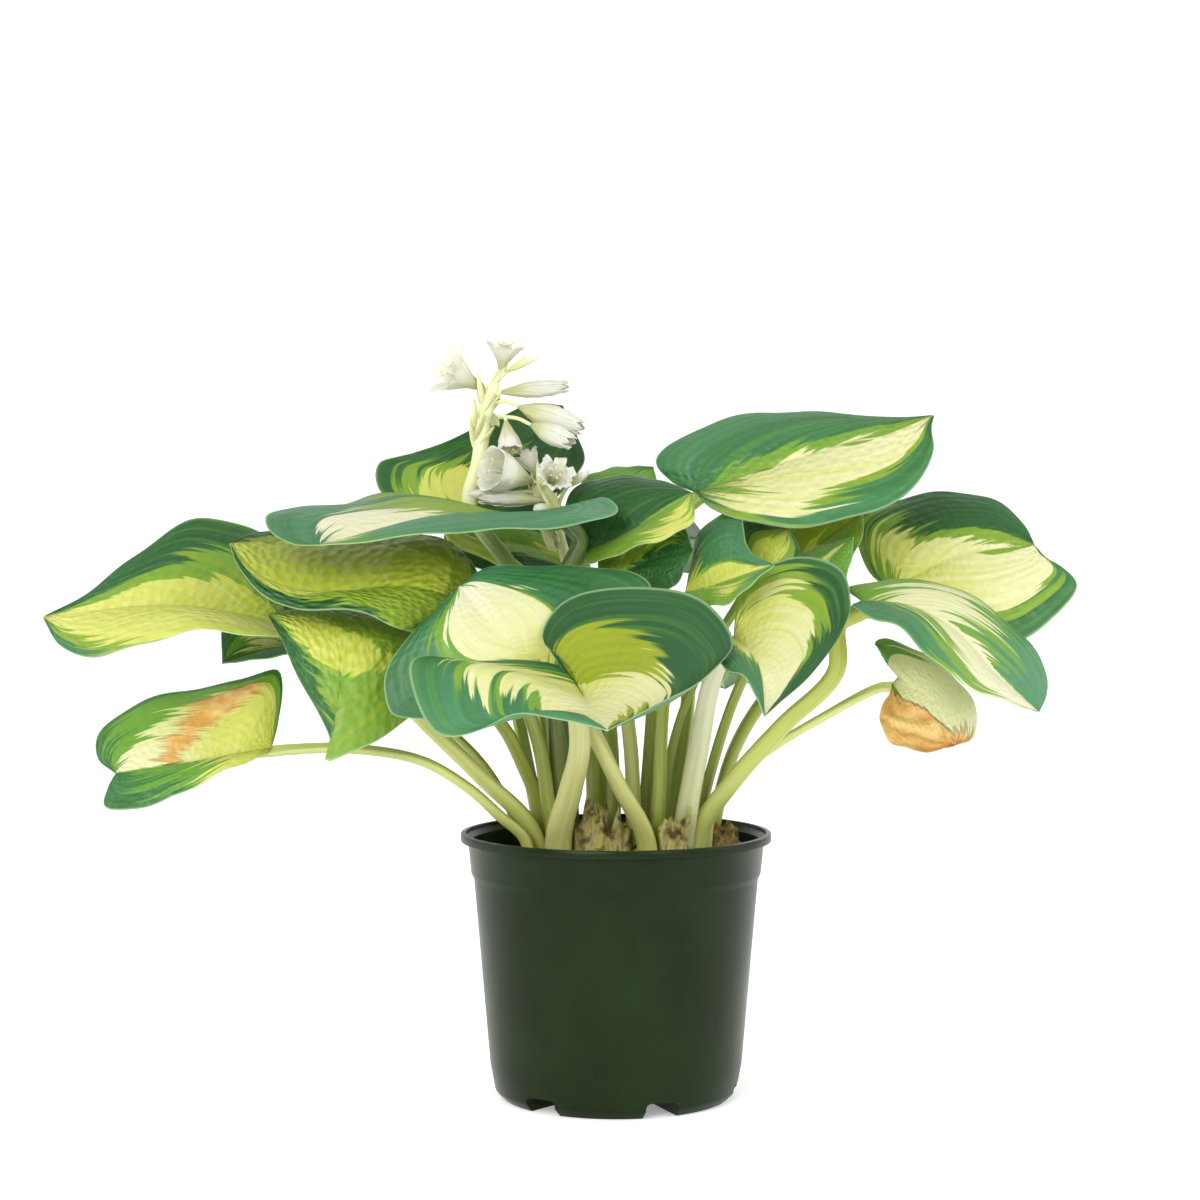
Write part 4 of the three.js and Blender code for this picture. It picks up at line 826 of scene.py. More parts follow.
class Piece:
    """A mesh that is put together from sheets and tubes, and then becomes one object."""

    def __init__(self):
        self.places, self.faces, self.corners, self.slots, self.fields = [], [], [], [], []
        self.count = 0

    def add_places(self, places, fields):
        """Adds places with their values of each field, and gives the number of the first."""
        first = self.count
        places = np.asarray(places, float).reshape(-1, 3)
        self.places.append(places)
        self.count += len(places)
        self.fields.append({k: np.broadcast_to(f, (len(places),)) for k, f in fields.items()})
        return first

    def add_face(self, face, corners, slot):
        """Adds a face by its places' numbers, its corners' texture places and its material's number."""
        self.faces.append(face)
        self.corners.extend(corners)
        self.slots.append(slot)

    def sheet(self, top, under, across, along, fields, slot=0, pointed=(True, True)):
        """A thin closed sheet between two grids of places, rows along it. A pointed end is a single place."""
        rows, cols = top.shape[0] - 1, top.shape[1] - 1
        kept = np.ones(top.shape[:2], bool)
        ends = [row for end, row in zip(pointed, (0, rows)) if end]
        for row in ends:
            kept[row] = False
            kept[row, cols // 2] = True
        index = np.cumsum(kept).reshape(kept.shape) - 1
        for row in ends:
            index[row] = index[row, cols // 2]
        spread = {k: np.broadcast_to(f, kept.shape)[kept] for k, f in fields.items()}
        first = self.add_places(top[kept], {**spread, "under": 0.0})
        last = self.add_places(under[kept], {**spread, "under": 1.0})
        upper, lower = (index + first).tolist(), (index + last).tolist()
        a, b = across.tolist(), along.tolist()
        for r in range(rows):
            for c in range(cols):
                ids = (upper[r][c], upper[r + 1][c], upper[r + 1][c + 1], upper[r][c + 1])
                uv = ((a[c], b[r]), (a[c], b[r + 1]), (a[c + 1], b[r + 1]), (a[c + 1], b[r]))
                self.quad(ids, uv, slot)
                ids = (lower[r][c + 1], lower[r + 1][c + 1], lower[r + 1][c], lower[r][c])
                self.quad(ids, (uv[3], uv[2], uv[1], uv[0]), slot)
            for c, turn in ((0, 1), (cols, -1)):
                ids = (upper[r][c], lower[r][c], lower[r + 1][c], upper[r + 1][c])[::turn]
                uv = ((a[c], b[r]), (a[c], b[r]), (a[c], b[r + 1]), (a[c], b[r + 1]))[::turn]
                self.quad(ids, uv, slot)
        for end, r, turn in ((pointed[0], 0, -1), (pointed[1], rows, 1)):
            for c in range(0 if end else cols):
                ids = (upper[r][c], lower[r][c], lower[r][c + 1], upper[r][c + 1])[::-turn]
                uv = ((a[c], b[r]), (a[c], b[r]), (a[c + 1], b[r]), (a[c + 1], b[r]))[::-turn]
                self.quad(ids, uv, slot)

    def quad(self, ids, uv, slot):
        """A face with four corners, or with three where two are the same place."""
        kept = [k for k in range(4) if ids[k] != ids[k - 1]]
        if len(kept) > 2:
            self.add_face([ids[k] for k in kept], [uv[k] for k in kept], slot)

    def tube(self, rings, fields, slot=0):
        """A closed solid through rings of places."""
        rows, sides = rings.shape[0] - 1, rings.shape[1]
        spread = {k: np.repeat(np.broadcast_to(f, (rows + 1,)), sides) for k, f in fields.items()}
        first = self.add_places(rings, spread)
        for r in range(rows):
            for s in range(sides):
                t = (s + 1) % sides
                ids = [first + r * sides + s, first + r * sides + t]
                ids += [ids[1] + sides, ids[0] + sides]
                x, y = (s / sides, (s + 1) / sides), (r / rows, (r + 1) / rows)
                self.add_face(ids, [(x[0], y[0]), (x[1], y[0]), (x[1], y[1]), (x[0], y[1])], slot)
        for row, turn in ((0, -1), (rows, 1)):
            ids = [first + row * sides + s for s in range(sides)][::turn]
            self.add_face(ids, [(0.5, row / rows)] * sides, slot)

    def solid(self, places, faces, fields, slot=0):
        """Places and faces that are given as they are."""
        first = self.add_places(places, fields)
        for face in faces:
            self.add_face([first + k for k in face], [(0.5, 0.5)] * len(face), slot)

    def plain(self, name):
        """An object with the bare mesh."""
        mesh = bpy.data.meshes.new(name)
        mesh.from_pydata((np.vstack(self.places) * MM).tolist(), [], self.faces)
        return placed(name, mesh)

    def build(self, name, node, looks):
        """The finished piece, with its fields and materials and with the node that it stands for."""
        made = self.plain(name)
        mesh = made.data
        uv = mesh.uv_layers.new(name="veins")
        uv.data.foreach_set("uv", np.array(self.corners, np.float32).ravel())
        mesh.polygons.foreach_set("material_index", self.slots)
        for field in sorted({k for fields in self.fields for k in fields}):
            values = [np.asarray(f.get(field, np.zeros(len(p)))) for f, p in zip(self.fields, self.places)]
            attribute = mesh.attributes.new(field, "FLOAT", "POINT")
            attribute.data.foreach_set("value", np.concatenate(values).astype(np.float32))
        mesh.shade_smooth()
        mesh.set_sharp_from_angle(angle=math.radians(SHARP))
        for look in looks:
            mesh.materials.append(look)
        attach(made, BODY)
        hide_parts(node)
        return made


def stalk(piece, leaf, blade, colours):
    """The leaf's stalk, grooved on its upper side, which runs on below the midrib."""
    top_radius, foot_radius = leaf["radius"]
    foot = np.array([*leaf["foot"], STALK_FOOT], float)
    outward = unit((blade.rib[-1] - foot) * (1, 1, 0))
    across = np.array([-outward[1], outward[0], 0])

    def below(v, down):
        up = unit(blade.normal(0 * v + BESIDE_RIB, v) + blade.normal(0 * v - BESIDE_RIB, v))
        return at(blade.rib, v) - up * down[:, None]

    def leftwards(v):
        return unit(blade.place(0 * v + BESIDE_RIB, v) - blade.place(0 * v - BESIDE_RIB, v))

    joint = below(np.zeros(1), np.array([JOINT_DEPTH * top_radius]))[0]
    via = [np.array(place, float) for place in leaf["via"]]
    arrival = unit(unit(via[-1] - joint) - heading(blade.rib, 0))
    path = curve_of([foot, *via, joint + arrival * JOINT_RUN * top_radius, joint])
    s = np.linspace(0, 1, STALK_ROWS + 1)
    v = RIB_SHARE * np.linspace(0, 1, RIB_ROWS + 1)[1:]
    thin = np.interp(v, [0, RIB_THIN, RIB_SHARE], [top_radius, *RIB_RADII])
    centre = np.vstack([at(path, s), below(v, JOINT_DEPTH * thin + MIDRIB_DEPTH * fade_in(v))])
    along = np.vstack([heading(path, s), heading(blade.rib, v)])
    turn = (s**3)[:, None]
    sideways = np.vstack([across * (1 - turn) + leftwards(np.array([JOINT_TWIST])) * turn, leftwards(v)])
    radius = np.concatenate([top_radius + (foot_radius - top_radius) * (1 - s) ** 2, thin])
    left = unit(sideways - along * (sideways * along).sum(axis=1, keepdims=True))
    up = np.cross(along, left)
    angle = np.linspace(0, 2 * math.pi, STALK_SIDES, endpoint=False)
    rise = np.sin(angle)
    groove = GROOVE["depth"] * np.exp(-(((angle - math.pi / 2) / GROOVE["width"]) ** 2))
    height = np.where(rise > 0, STALK_TOP * rise, rise) - groove
    sides = left[:, None] * np.cos(angle)[None, :, None] + up[:, None] * height[None, :, None]
    share = np.concatenate([s, np.ones(len(v))])
    top, bottom = (np.array(rgb(*colour)) for colour in colours)
    tint = bottom + (top - bottom) * np.clip(share, 0, 1)[:, None] ** TINT_BEND
    fields = {"red": tint[:, 0], "green": tint[:, 1], "blue": tint[:, 2]}
    piece.tube(centre[:, None] + sides * radius[:, None, None], fields, slot=1)


def marked(places, u, v):
    """How far inside an area of the leaf each place lies: above 0 within it, and below 0 outside."""
    if not places:
        return -1 + 0 * u
    across, starts, ends = np.array(places, float).T
    starts = np.where(starts <= 0, -BEYOND, starts)
    ends = np.where(ends >= 1, 1 + BEYOND, ends)
    inside = np.minimum(np.interp(u, across, ends) - v, v - np.interp(u, across, starts))
    if across[0] > -1:
        inside = np.minimum(inside, (u - across[0]) * AREA_SIDE)
    if across[-1] < 1:
        inside = np.minimum(inside, (across[-1] - u) * AREA_SIDE)
    return inside


def by_side(pair, u):
    """The first of a pair on the left half, the second on the right, and between them at the midrib."""
    share = np.clip(0.5 - SIDE_BLEND * u, 0, 1)
    return pair[0] + (pair[1] - pair[0]) * share


def relief(blade, u, v, vein, spread, cream, seed):
    """The height of the ribs between the veins, of the midrib's groove and of the waves at the margin."""
    off = np.abs(u)
    gap = blade.half_width(u, v) / VEINS / spread
    ribs = (np.sin(math.pi * VEINS * vein) ** 2 - 0.5) * np.minimum(VEIN_RELIEF * gap, RIB_LIMIT)
    pale = np.clip(cream * AREA_EDGE + 0.5, 0, 1)
    ribs = ribs * np.clip((1 - off) * RIB_END, 0, 1) * (1 - (1 - PALE_RELIEF) * pale)
    groove = -MIDRIB_DEPTH * np.exp(-((u / MIDRIB_WIDTH) ** 2)) * fade_in(v)
    phase = 2 * math.pi * (WAVES * v + seed) + WAVE_SHIFT * np.sign(u)
    waves = WAVE_HEIGHT * off**4 * np.sin(phase) * np.sin(math.pi * v)
    return ribs + groove + waves


def folds(u, v):
    """Uneven folds, from -1 to 1, in which the blade crumples where it has withered."""
    return np.sin(11 * u + 3 * np.sin(7 * v)) * np.sin(13 * v + 2 * np.sin(5 * u))


def make_leaf(leaf, seed, grid):
    """A leaf: its blade, with fields that its colours follow, and its stalk."""
    blade = Blade(leaf)
    cols, rows = grid
    u, v = np.meshgrid(np.linspace(-1, 1, cols + 1), np.linspace(0, 1, rows + 1))
    paint = {**PLAIN_PAINT, **PAINT.get(leaf["name"], {})}
    fan = by_side(paint["fan"], u)
    spread = (1 + fan * v) * by_side(paint["slant"], u)
    vein = np.abs(u) * spread - fan * v
    fields = {name: marked(paint[name], u, v) for name in ("cream", "mid", "over", "brown")}
    height = relief(blade, u, v, vein, spread, fields["cream"], seed)
    height = height + CRUMPLE * folds(u, v) * np.clip(fields["brown"] * AREA_EDGE, 0, 1)
    fields["vein"] = vein + np.where(u < 0, RIGHT_VEINS, 0)
    fields["along"] = v
    for name in ("sun", "deep"):
        fields[name] = by_side(paint[name], u)
    for name in ("gold", "wax"):
        first, last = paint[name]
        fields[name] = first + (last - first) * v
    fields["puckers"] = paint["puckers"]
    fields["seed"] = seed
    piece = Piece()
    top, under = blade.raised(u, v, height + BLADE_HALF), blade.raised(u, v, height - BLADE_HALF)
    piece.sheet(top, under, (u[0] + 1) / 2, v[:, 0], fields)
    stalk(piece, leaf, blade, STALKS.get(leaf["name"], GREEN_STALK))
    return piece.build(f"{leaf['name']}_fine", leaf["name"], [LEAF_LOOK, STALK_LOOK])


def plain_leaf(short):
    """A leaf's record from the short form that the back leaves have."""
    navel, tip = (np.array(short[end], float) for end in ("navel", "tip"))
    along = tip - navel
    left = unit(np.array([-along[1], along[0], 0])) * short["width"] / 2
    sides = {}
    for name, side in (("left", 1), ("right", -1)):
        sides[name] = [
            navel + along * share + left * side * out + [0, 0, BACK_RISE * share - short["drop"] * out**2]
            for share, out in HALF_MARGIN
        ]
    middle = (navel + tip) / 2 + [0, 0, BACK_ARCH]
    return {**short, **sides, "rib": [navel, middle, tip], "swell": [BACK_SWELL, BACK_SWELL]}


def square_to(axis):
    """Two directions at right angles to an axis and to each other."""
    helper = np.array([1.0, 0, 0]) if abs(axis[2]) > 0.8 else np.array([0, 0, 1.0])
    across = unit(np.cross(helper, axis))
    return across, np.cross(axis, across)


def rings_along(places, radii, sides):
    """Round rings along a smooth path, with a radius for each ring."""
    path = curve_of(places)
    share = np.linspace(0, 1, len(radii))
    centre, along = at(path, share), heading(path, share)
    across = square_to(along[0])[0]
    angle = np.linspace(0, 2 * math.pi, sides, endpoint=False)
    rings = []
    for middle, direction, radius in zip(centre, along, radii):
        across = unit(across - direction * (across @ direction))
        other = np.cross(direction, across)
        rings.append(middle + radius * (np.cos(angle)[:, None] * across + np.sin(angle)[:, None] * other))
    return np.array(rings)


def make_stem(stem, carried):
    """A flower stem, the small stalks of its blooms, and the bracts that clasp it."""
    rng = random.Random(stem["name"])
    piece = Piece()
    places = [[*stem["foot"], STALK_FOOT], *stem["path"]]
    last, first = stem["radius"]
    share = np.linspace(0, 1, STEM_ROWS)
    radii = first + (last - first) * share
    uneven = STEM_UNEVEN * np.sin(np.linspace(0, 23, STEM_ROWS))
    radii = radii * (1 + uneven + STEM_STOUT * fade_in(np.linspace(-0.6, 1, STEM_ROWS)))
    radii[-len(STEM_END):] *= STEM_END
    piece.tube(rings_along(places, radii, STEM_SIDES), {"along": share})
    path = curve_of(places)
    for bloom in carried:
        base, mouth = (np.array(bloom[end], float) for end in ("base", "mouth"))
        rings = rings_along([*bloom["via"], base - unit(mouth - base) * PEDICEL_GAP],
                            np.linspace(*PEDICEL_RADII, PEDICEL_ROWS), 10)
        piece.tube(rings, {"along": np.full(PEDICEL_ROWS, PEDICEL_ALONG)})
        bract(piece, np.array(bloom["via"][0], float), unit(mouth - base), rng)
    count, size, rise = BRACTS[stem["name"]]
    start, arc = BRACT_ARC[stem["name"]]
    for number in range(count):
        share = np.array([BRACTS_FROM + (BRACTS_TO - BRACTS_FROM) * number / count])
        turn = math.radians(start + arc * (BRACT_STEP * number % 1))
        outwards = np.array([math.cos(turn), math.sin(turn), 0])
        root = at(path, share)[0] + last * 0.8 * outwards
        bract(piece, root, unit(outwards + [0, 0, rise]), rng, size)
    return piece.build(f"{stem['name']}_fine", stem["name"], [STEM_LOOK])


def bract(piece, root, towards, rng, size=1.0):
    """A small pale leaf that clasps the stem below a bloom's stalk."""
    length, width = rng.uniform(*BRACT_LENGTH) * size, rng.uniform(*BRACT_WIDTH) * size
    axis = unit(towards * 0.6 + np.array([rng.uniform(-0.3, 0.3), -0.3, 0.8]))
    across, other = square_to(axis)
    w, s = np.meshgrid(np.linspace(-1, 1, 9), np.linspace(0, 1, 15))
    half = width * np.sin(math.pi * np.clip(s * 0.82 + 0.18, 0, 1)) ** 0.7
    cup = 0.7 * width * w**2 * half / width
    middle = root - axis * BRACT_SINK + axis * (length * s)[..., None]
    places = middle + across * (w * half)[..., None] - other * (cup + 2 * (1 - s) ** 2)[..., None]
    lift = unit(np.cross(axis, across)) * BRACT_HALF
    fields = {"along": BRACT_ALONG + 0 * s}
    piece.sheet(places - lift, places + lift, (w[0] + 1) / 2, s[:, 0], fields, pointed=(False, True))


def make_bloom(bloom):
    """A flower of six petals in two whorls that share a narrow tube, with stamens where it is open."""
    base, mouth = (np.array(bloom[end], float) for end in ("base", "mouth"))
    axis = mouth - base
    length = np.linalg.norm(axis)
    axis = axis / length
    across, other = square_to(axis)
    half = bloom["width"] / 2
    form = BLOOM_FORMS[bloom["form"]]
    shares = [0, 0.12, LOW_SHARE, HIGH_SHARE, 0.8, 1]
    outer = (form["high"] + form["petal"]) / 2
    radii = [1, 0.4 * half * form["low"] + 0.6, form["low"] * half, form["high"] * half, outer * half,
             form["petal"] * half]
    ruffle = RUFFLE.get(bloom["name"], PLAIN_RUFFLE)
    fullness = PETAL_FULLNESS.get(bloom["name"], PLAIN_FULLNESS)
    bent_back = form["petal"] > form["high"]
    rng = random.Random(bloom["name"])
    piece = Piece()
    w, s = np.meshgrid(np.linspace(-1, 1, 13), np.linspace(0, 1, 31))
    for petal in range(PETALS):
        inner = petal % 2
        turn = 2 * math.pi / PETALS * petal
        reach = 1 - rng.uniform(0, PETAL_REACH)
        radius = np.interp(s, shares, radii)
        wide = np.interp(s, *PETAL_OUTLINE)
        half_width = wide * fullness * np.minimum(radius, form["high"] * half * PETAL_BROADEST)
        spread = np.minimum(half_width / radius, math.radians(PETAL_SPREAD))
        waves = ruffle * np.abs(w) ** 3 * np.sin(9 * s * math.pi + petal + 2 * w) * ramp(s, 0.45, 3)
        fold = -PETAL_FOLD * half * (1 - np.abs(w)) ** 2 * ramp(s, 0.3, 3)
        curl = radius + waves + fold - INNER_STEP * inner * ramp(s, 0, 3)
        angle = turn + w * spread
        outwards = np.cos(angle)[..., None] * across + np.sin(angle)[..., None] * other
        rise = length * s * reach - TIP_CURL * length * ramp(s, 0.75, 4) ** 2 * bent_back
        lift = PETAL_HALF * outwards
        places = base + axis * rise[..., None] + outwards * curl[..., None]
        under, top = places - lift, places + lift
        piece.sheet(under, top, (w[0] + 1) / 2, s[:, 0], {"along": s}, pointed=(False, True))
    if bloom["form"] != "closed":
        stamens(piece, base, axis, across, other, length, half, rng)
    return piece.build(f"{bloom['name']}_fine", bloom["name"], [PETAL_LOOK, ANTHER_LOOK])


def stamens(piece, base, axis, across, other, length, half, rng):
    """As many threads as petals, with an anther each."""
    for number in range(PETALS):
        angle = 2 * math.pi / PETALS * number + 0.4
        outwards = math.cos(angle) * across + math.sin(angle) * other
        reach, lean = rng.uniform(0.8, 0.96), rng.uniform(0.22, 0.36)
        start = base + axis * length * 0.3 + outwards * 0.3
        end = base + axis * length * reach + outwards * half * lean
        middle = (start + end) / 2 - outwards * 0.8
        rings = rings_along([start, middle, end], np.full(9, STAMEN_RADIUS), 6)
        piece.tube(rings, {"along": np.full(9, 0.7)})
        tip = unit(axis + outwards * 1.5)
        radii = ANTHER_RADIUS * np.sin(np.linspace(0.25, math.pi - 0.25, 7)) ** 0.6
        piece.tube(rings_along([end - tip * ANTHER_HALF, end, end + tip * ANTHER_HALF], radii, 7), {}, slot=1)


def make_bud(bud):
    """A closed bud with six faint ridges."""
    base, mouth = (np.array(bud[end], float) for end in ("base", "mouth"))
    share = np.linspace(0, 1, BUD_ROWS)
    radii = np.interp(share, *BUD_SHAPE) * bud["width"] / 2
    rings = rings_along([base, (base + mouth) / 2, mouth], radii, BUD_SIDES)
    ridge = 1 + BUD_RIDGE * np.cos(np.linspace(0, 2 * math.pi * PETALS, BUD_SIDES, endpoint=False))
    middle = rings.mean(axis=1, keepdims=True)
    piece = Piece()
    piece.tube(middle + (rings - middle) * ridge[None, :, None], {"along": share * 0.8})
    return piece.build(f"{bud['name']}_fine", bud["name"], [PETAL_LOOK])


def make_sheath(sheath):
    """The papery remains of a leaf base: crumpled strips with ragged tops, one behind the other."""
    rng = random.Random(sheath["name"])
    foot, top = (np.array(sheath[end], float) for end in ("foot", "top"))
    piece = Piece()
    for layer, (share, aside) in enumerate(SHEATH_LAYERS):
        aim = foot + (top - foot) * share + np.array([aside * sheath["width"], 0, 0])
        wide = sheath["width"] * (0.42 + 0.05 * layer)
        u, s = np.meshgrid(np.linspace(1, -1, 41), np.linspace(0, 1, 45))
        half = np.interp(s, *SHEATH_OUTLINE) * wide
        seed = rng.uniform(0, 50)
        torn = 1 - s**3 * (0.18 - 0.13 * np.sin(u * 1.9 + seed) - 0.025 * np.sin(u * 13 + 2 * seed))
        centre = foot + (aim - foot) * (s * torn)[..., None]
        x = u * half + 0.9 * np.sin(s * 7 + seed + 3 * u) * s
        crease = 0.7 * np.sin(u * 8 + seed + 3 * s) + 0.6 * np.sin(s * 11 + u * 4 + seed) * s
        curl = 1.6 * np.maximum(s - 0.75, 0) * np.sin(u * 5 + seed)
        y = -2.5 * s * (1 - s) + 0.18 * u**2 * half + crease - 6 * curl * s - 1.3 * layer + 1.5
        places = centre + np.stack([x, y, 0 * s], axis=-1)
        lift = np.array([0, -SHEATH_HALF, 0])
        front, back = places + lift, places - lift
        piece.sheet(front, back, (1 - u[0]) / 2, s[:, 0], {"along": s}, pointed=(False, False))
    return piece.build(f"{sheath['name']}_fine", sheath["name"], [DRY_LOOK])


def ball(detail):
    """The places and faces of a round ball with a radius of 1."""
    work = bmesh.new()
    bmesh.ops.create_icosphere(work, subdivisions=detail, radius=1)
    places = np.array([v.co[:] for v in work.verts])
    faces = [[v.index for v in f.verts] for f in work.faces]
    work.free()
    return places, faces


def rough(places, size, strength, seed):
    """Moves places in and out by a smooth random height."""
    shift = [noise.fractal(Vector(p) * size + Vector((seed, 0, 0)), 1.0, 2.0, 4) for p in places.tolist()]
    return places * (1 + strength * np.array(shift)[:, None])


def turned_by(places, degrees):
    """Places turned about the upright."""
    a = math.radians(degrees)
    return places @ np.array([[math.cos(a), math.sin(a), 0], [-math.sin(a), math.cos(a), 0], [0, 0, 1]])


def make_chip(chip):
    """A bit of bark with rough layers."""
    places, faces = ball(5)
    shaped = np.sign(places) * np.abs(places) ** 0.8
    shaped = rough(shaped, 1.6, 0.22, chip["turn"]) * 0.9
    shaped[:, 2] += 0.06 * np.sin(shaped[:, 0] * 9 + shaped[:, 2] * 14)
    piece = Piece()
    piece.solid(turned_by(shaped * chip["size"], chip["turn"]) + chip["place"], faces, {})
    return piece.build(f"{chip['name']}_fine", chip["name"], [BARK_LOOK])


def soil_height(x, y):
    """The height of the soil's surface, without its crumbs."""
    mound = np.exp(-((x / CROWN_SPREAD[0]) ** 2) - (y / CROWN_SPREAD[1]) ** 2)
    heap = np.exp(-((x - HEAP["x"]) ** 2 + (y - HEAP["y"]) ** 2) / HEAP["spread"] ** 2)
    lumps = 0.9 * np.sin(x / 5.3 + 1) * np.cos(y / 4.7) + 0.7 * np.sin((x + y) / 8.9)
    return SOIL_EDGE + (SOIL_CROWN - SOIL_EDGE) * mound + HEAP["height"] * heap + lumps


def make_soil():
    """The potting soil, with crumbs and bits of bark on its surface."""
    piece = Piece()
    angle = np.linspace(0, 2 * math.pi, SOIL_SIDES, endpoint=False)
    rings = [(2, FLOOR + CLEAR), (SOIL_FOOT, FLOOR + CLEAR), (SOIL_WAIST, WAIST)]
    low = [np.stack([r * np.cos(angle), r * np.sin(angle), z + 0 * angle], axis=1) for r, z in rings]
    top = []
    for share in np.linspace(1, 0.02, SOIL_ROWS):
        x, y = SOIL_RADIUS * share * np.cos(angle), SOIL_RADIUS * share * np.sin(angle)
        crumbs = [noise.fractal(Vector((a * 0.22, b * 0.22, 3)), 0.8, 2.1, 5) for a, b in zip(x, y)]
        top.append(np.stack([x, y, soil_height(x, y) + SOIL_ROUGH * np.array(crumbs)], axis=1))
    body = Piece()
    body.tube(np.array(low + top), {})
    body = combined(body.plain("soil_body"), roof_bars(CLEAR), "DIFFERENCE")
    places = np.array([v.co[:] for v in body.data.vertices]) / MM
    piece.solid(places, [list(p.vertices) for p in body.data.polygons], {})
    bpy.data.objects.remove(body)
    rng = random.Random(CRUMB_SEED)
    places, faces = ball(2)
    for number in range(CRUMBS):
        away, turn = SOIL_RADIUS * 0.97 * math.sqrt(rng.random()), rng.uniform(0, 2 * math.pi)
        x, y = away * math.cos(turn), away * math.sin(turn)
        size = rng.choice(CRUMB_SIZES)
        long, flat = rng.uniform(0.7, 1.5), rng.uniform(0.5, 0.9)
        form = rough(places, 1.3, 0.35, number) * (size * long, size, size * flat)
        if away + 2 * size < SOIL_RADIUS:
            spot = (x, y, float(soil_height(np.array(x), np.array(y))) + 0.25 * size)
            crumb = turned_by(form, rng.uniform(0, 360)) + spot
            piece.solid(crumb, faces, {"bit": rng.random() + 0 * form[:, 0]})
    return piece.build("soil_fine", "soil", [SOIL_LOOK])


def revolved(name, profile, sides):
    """A solid of revolution from the lowest place on the axis to the highest."""
    angle = np.linspace(0, 2 * math.pi, sides, endpoint=False)
    work = bmesh.new()
    rows = []
    for radius, height in profile:
        if radius == 0:
            rows.append([work.verts.new((0, 0, height * MM))] * sides)
        else:
            rows.append([work.verts.new((radius * MM * math.cos(a), radius * MM * math.sin(a), height * MM))
                         for a in angle])
    for low, high in zip(rows, rows[1:]):
        for side in range(sides):
            after = (side + 1) % sides
            corners = [low[side], low[after], high[after], high[side]]
            work.faces.new(list(dict.fromkeys(corners)))
    return from_bmesh(name, work)


def from_bmesh(name, work):
    """An object whose faces all look outwards."""
    bmesh.ops.recalc_face_normals(work, faces=work.faces)
    mesh = bpy.data.meshes.new(name)
    work.to_mesh(mesh)
    work.free()
    return placed(name, mesh)


def bars(name, width, height, start, end, bottom):
    """A bar along every drain channel, with a rounded top."""
    half = width / 2
    bend = [(half - DRAIN_CORNER * (1 - math.cos(a)), height - DRAIN_CORNER * (1 - math.sin(a)))
            for a in np.linspace(0, math.pi / 2, 5)]
    section = [(-half, bottom), (half, bottom), *bend, *[(-x, z) for x, z in reversed(bend)]]
    work = bmesh.new()
    for number in range(DRAINS):
        turn = math.radians(DRAIN_TURN + 360 / DRAINS * number)
        ends = []
        for away in (start, end):
            ends.append([work.verts.new(((x * math.cos(turn) + away * math.sin(turn)) * MM,
                                         (x * math.sin(turn) - away * math.cos(turn)) * MM, z * MM))
                         for x, z in section])
        near, far = ends
        work.faces.new(near[::-1])
        work.faces.new(far)
        for a in range(len(section)):
            b = (a + 1) % len(section)
            work.faces.new([near[a], near[b], far[b], far[a]])
    return from_bmesh(name, work)


def roof_bars(spare):
    """The bodies of the drain channels' roofs and walls, widened by spare."""
    width, height = DRAIN_WIDTH + 2 * (WALL + spare), DRAIN_HEIGHT + FLOOR + spare
    return bars("roofs", width, height, DRAIN_START - WALL - spare, RIM_RADIUS, 0)


def combined(made, other, operation):
    """The first object joined with, cut by or kept inside the second, which goes away."""
    modifier = made.modifiers.new("solid", "BOOLEAN")
    modifier.operation, modifier.object, modifier.solver = operation, other, "EXACT"
    evaluated = made.evaluated_get(bpy.context.evaluated_depsgraph_get())
    mesh = bpy.data.meshes.new_from_object(evaluated)
    made.modifiers.clear()
    made.data = mesh
    bpy.data.objects.remove(other)
    return made


def weld(mesh):
    """Joins the double points that joining and cutting leave."""
    work = bmesh.new()
    work.from_mesh(mesh)
    bmesh.ops.remove_doubles(work, verts=work.verts, dist=DOUBLE * MM)
    work.to_mesh(mesh)
    work.free()


def make_pot():
    """The pot's wall and floor, with the drain channels cut into its foot and a slot above each."""
    outside = revolved("pot_fine", POT_OUTSIDE, POT_SIDES)
    roofs = combined(roof_bars(0), revolved("round", POT_OUTSIDE, POT_SIDES), "INTERSECT")
    pot = combined(outside, revolved("inside", POT_INSIDE, POT_SIDES), "DIFFERENCE")
    pot = combined(pot, roofs, "UNION")
    channels = bars("channels", DRAIN_WIDTH, DRAIN_HEIGHT, DRAIN_START, RIM_RADIUS, -1)
    pot = combined(pot, channels, "DIFFERENCE")
    near, far = (SLOT["radius"] + side * SLOT["length"] / 2 for side in (-1, 1))
    slots = bars("slots", SLOT["width"], 4 * FLOOR + DRAIN_HEIGHT, near, far, 0)
    pot = combined(pot, slots, "DIFFERENCE")
    weld(pot.data)
    pot.data.shade_smooth()
    pot.data.set_sharp_from_angle(angle=math.radians(POT_SHARP))
    pot.data.materials.clear()
    pot.data.materials.append(POT_LOOK)
    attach(pot, BODY)
    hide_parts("pot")


def rgb(*levels):
    """A colour given as a screen shows it, from 0 to 255, as linear light."""
    return tuple(((c / 255 + 0.055) / 1.055) ** 2.4 if c > 10 else c / 255 / 12.92 for c in levels)


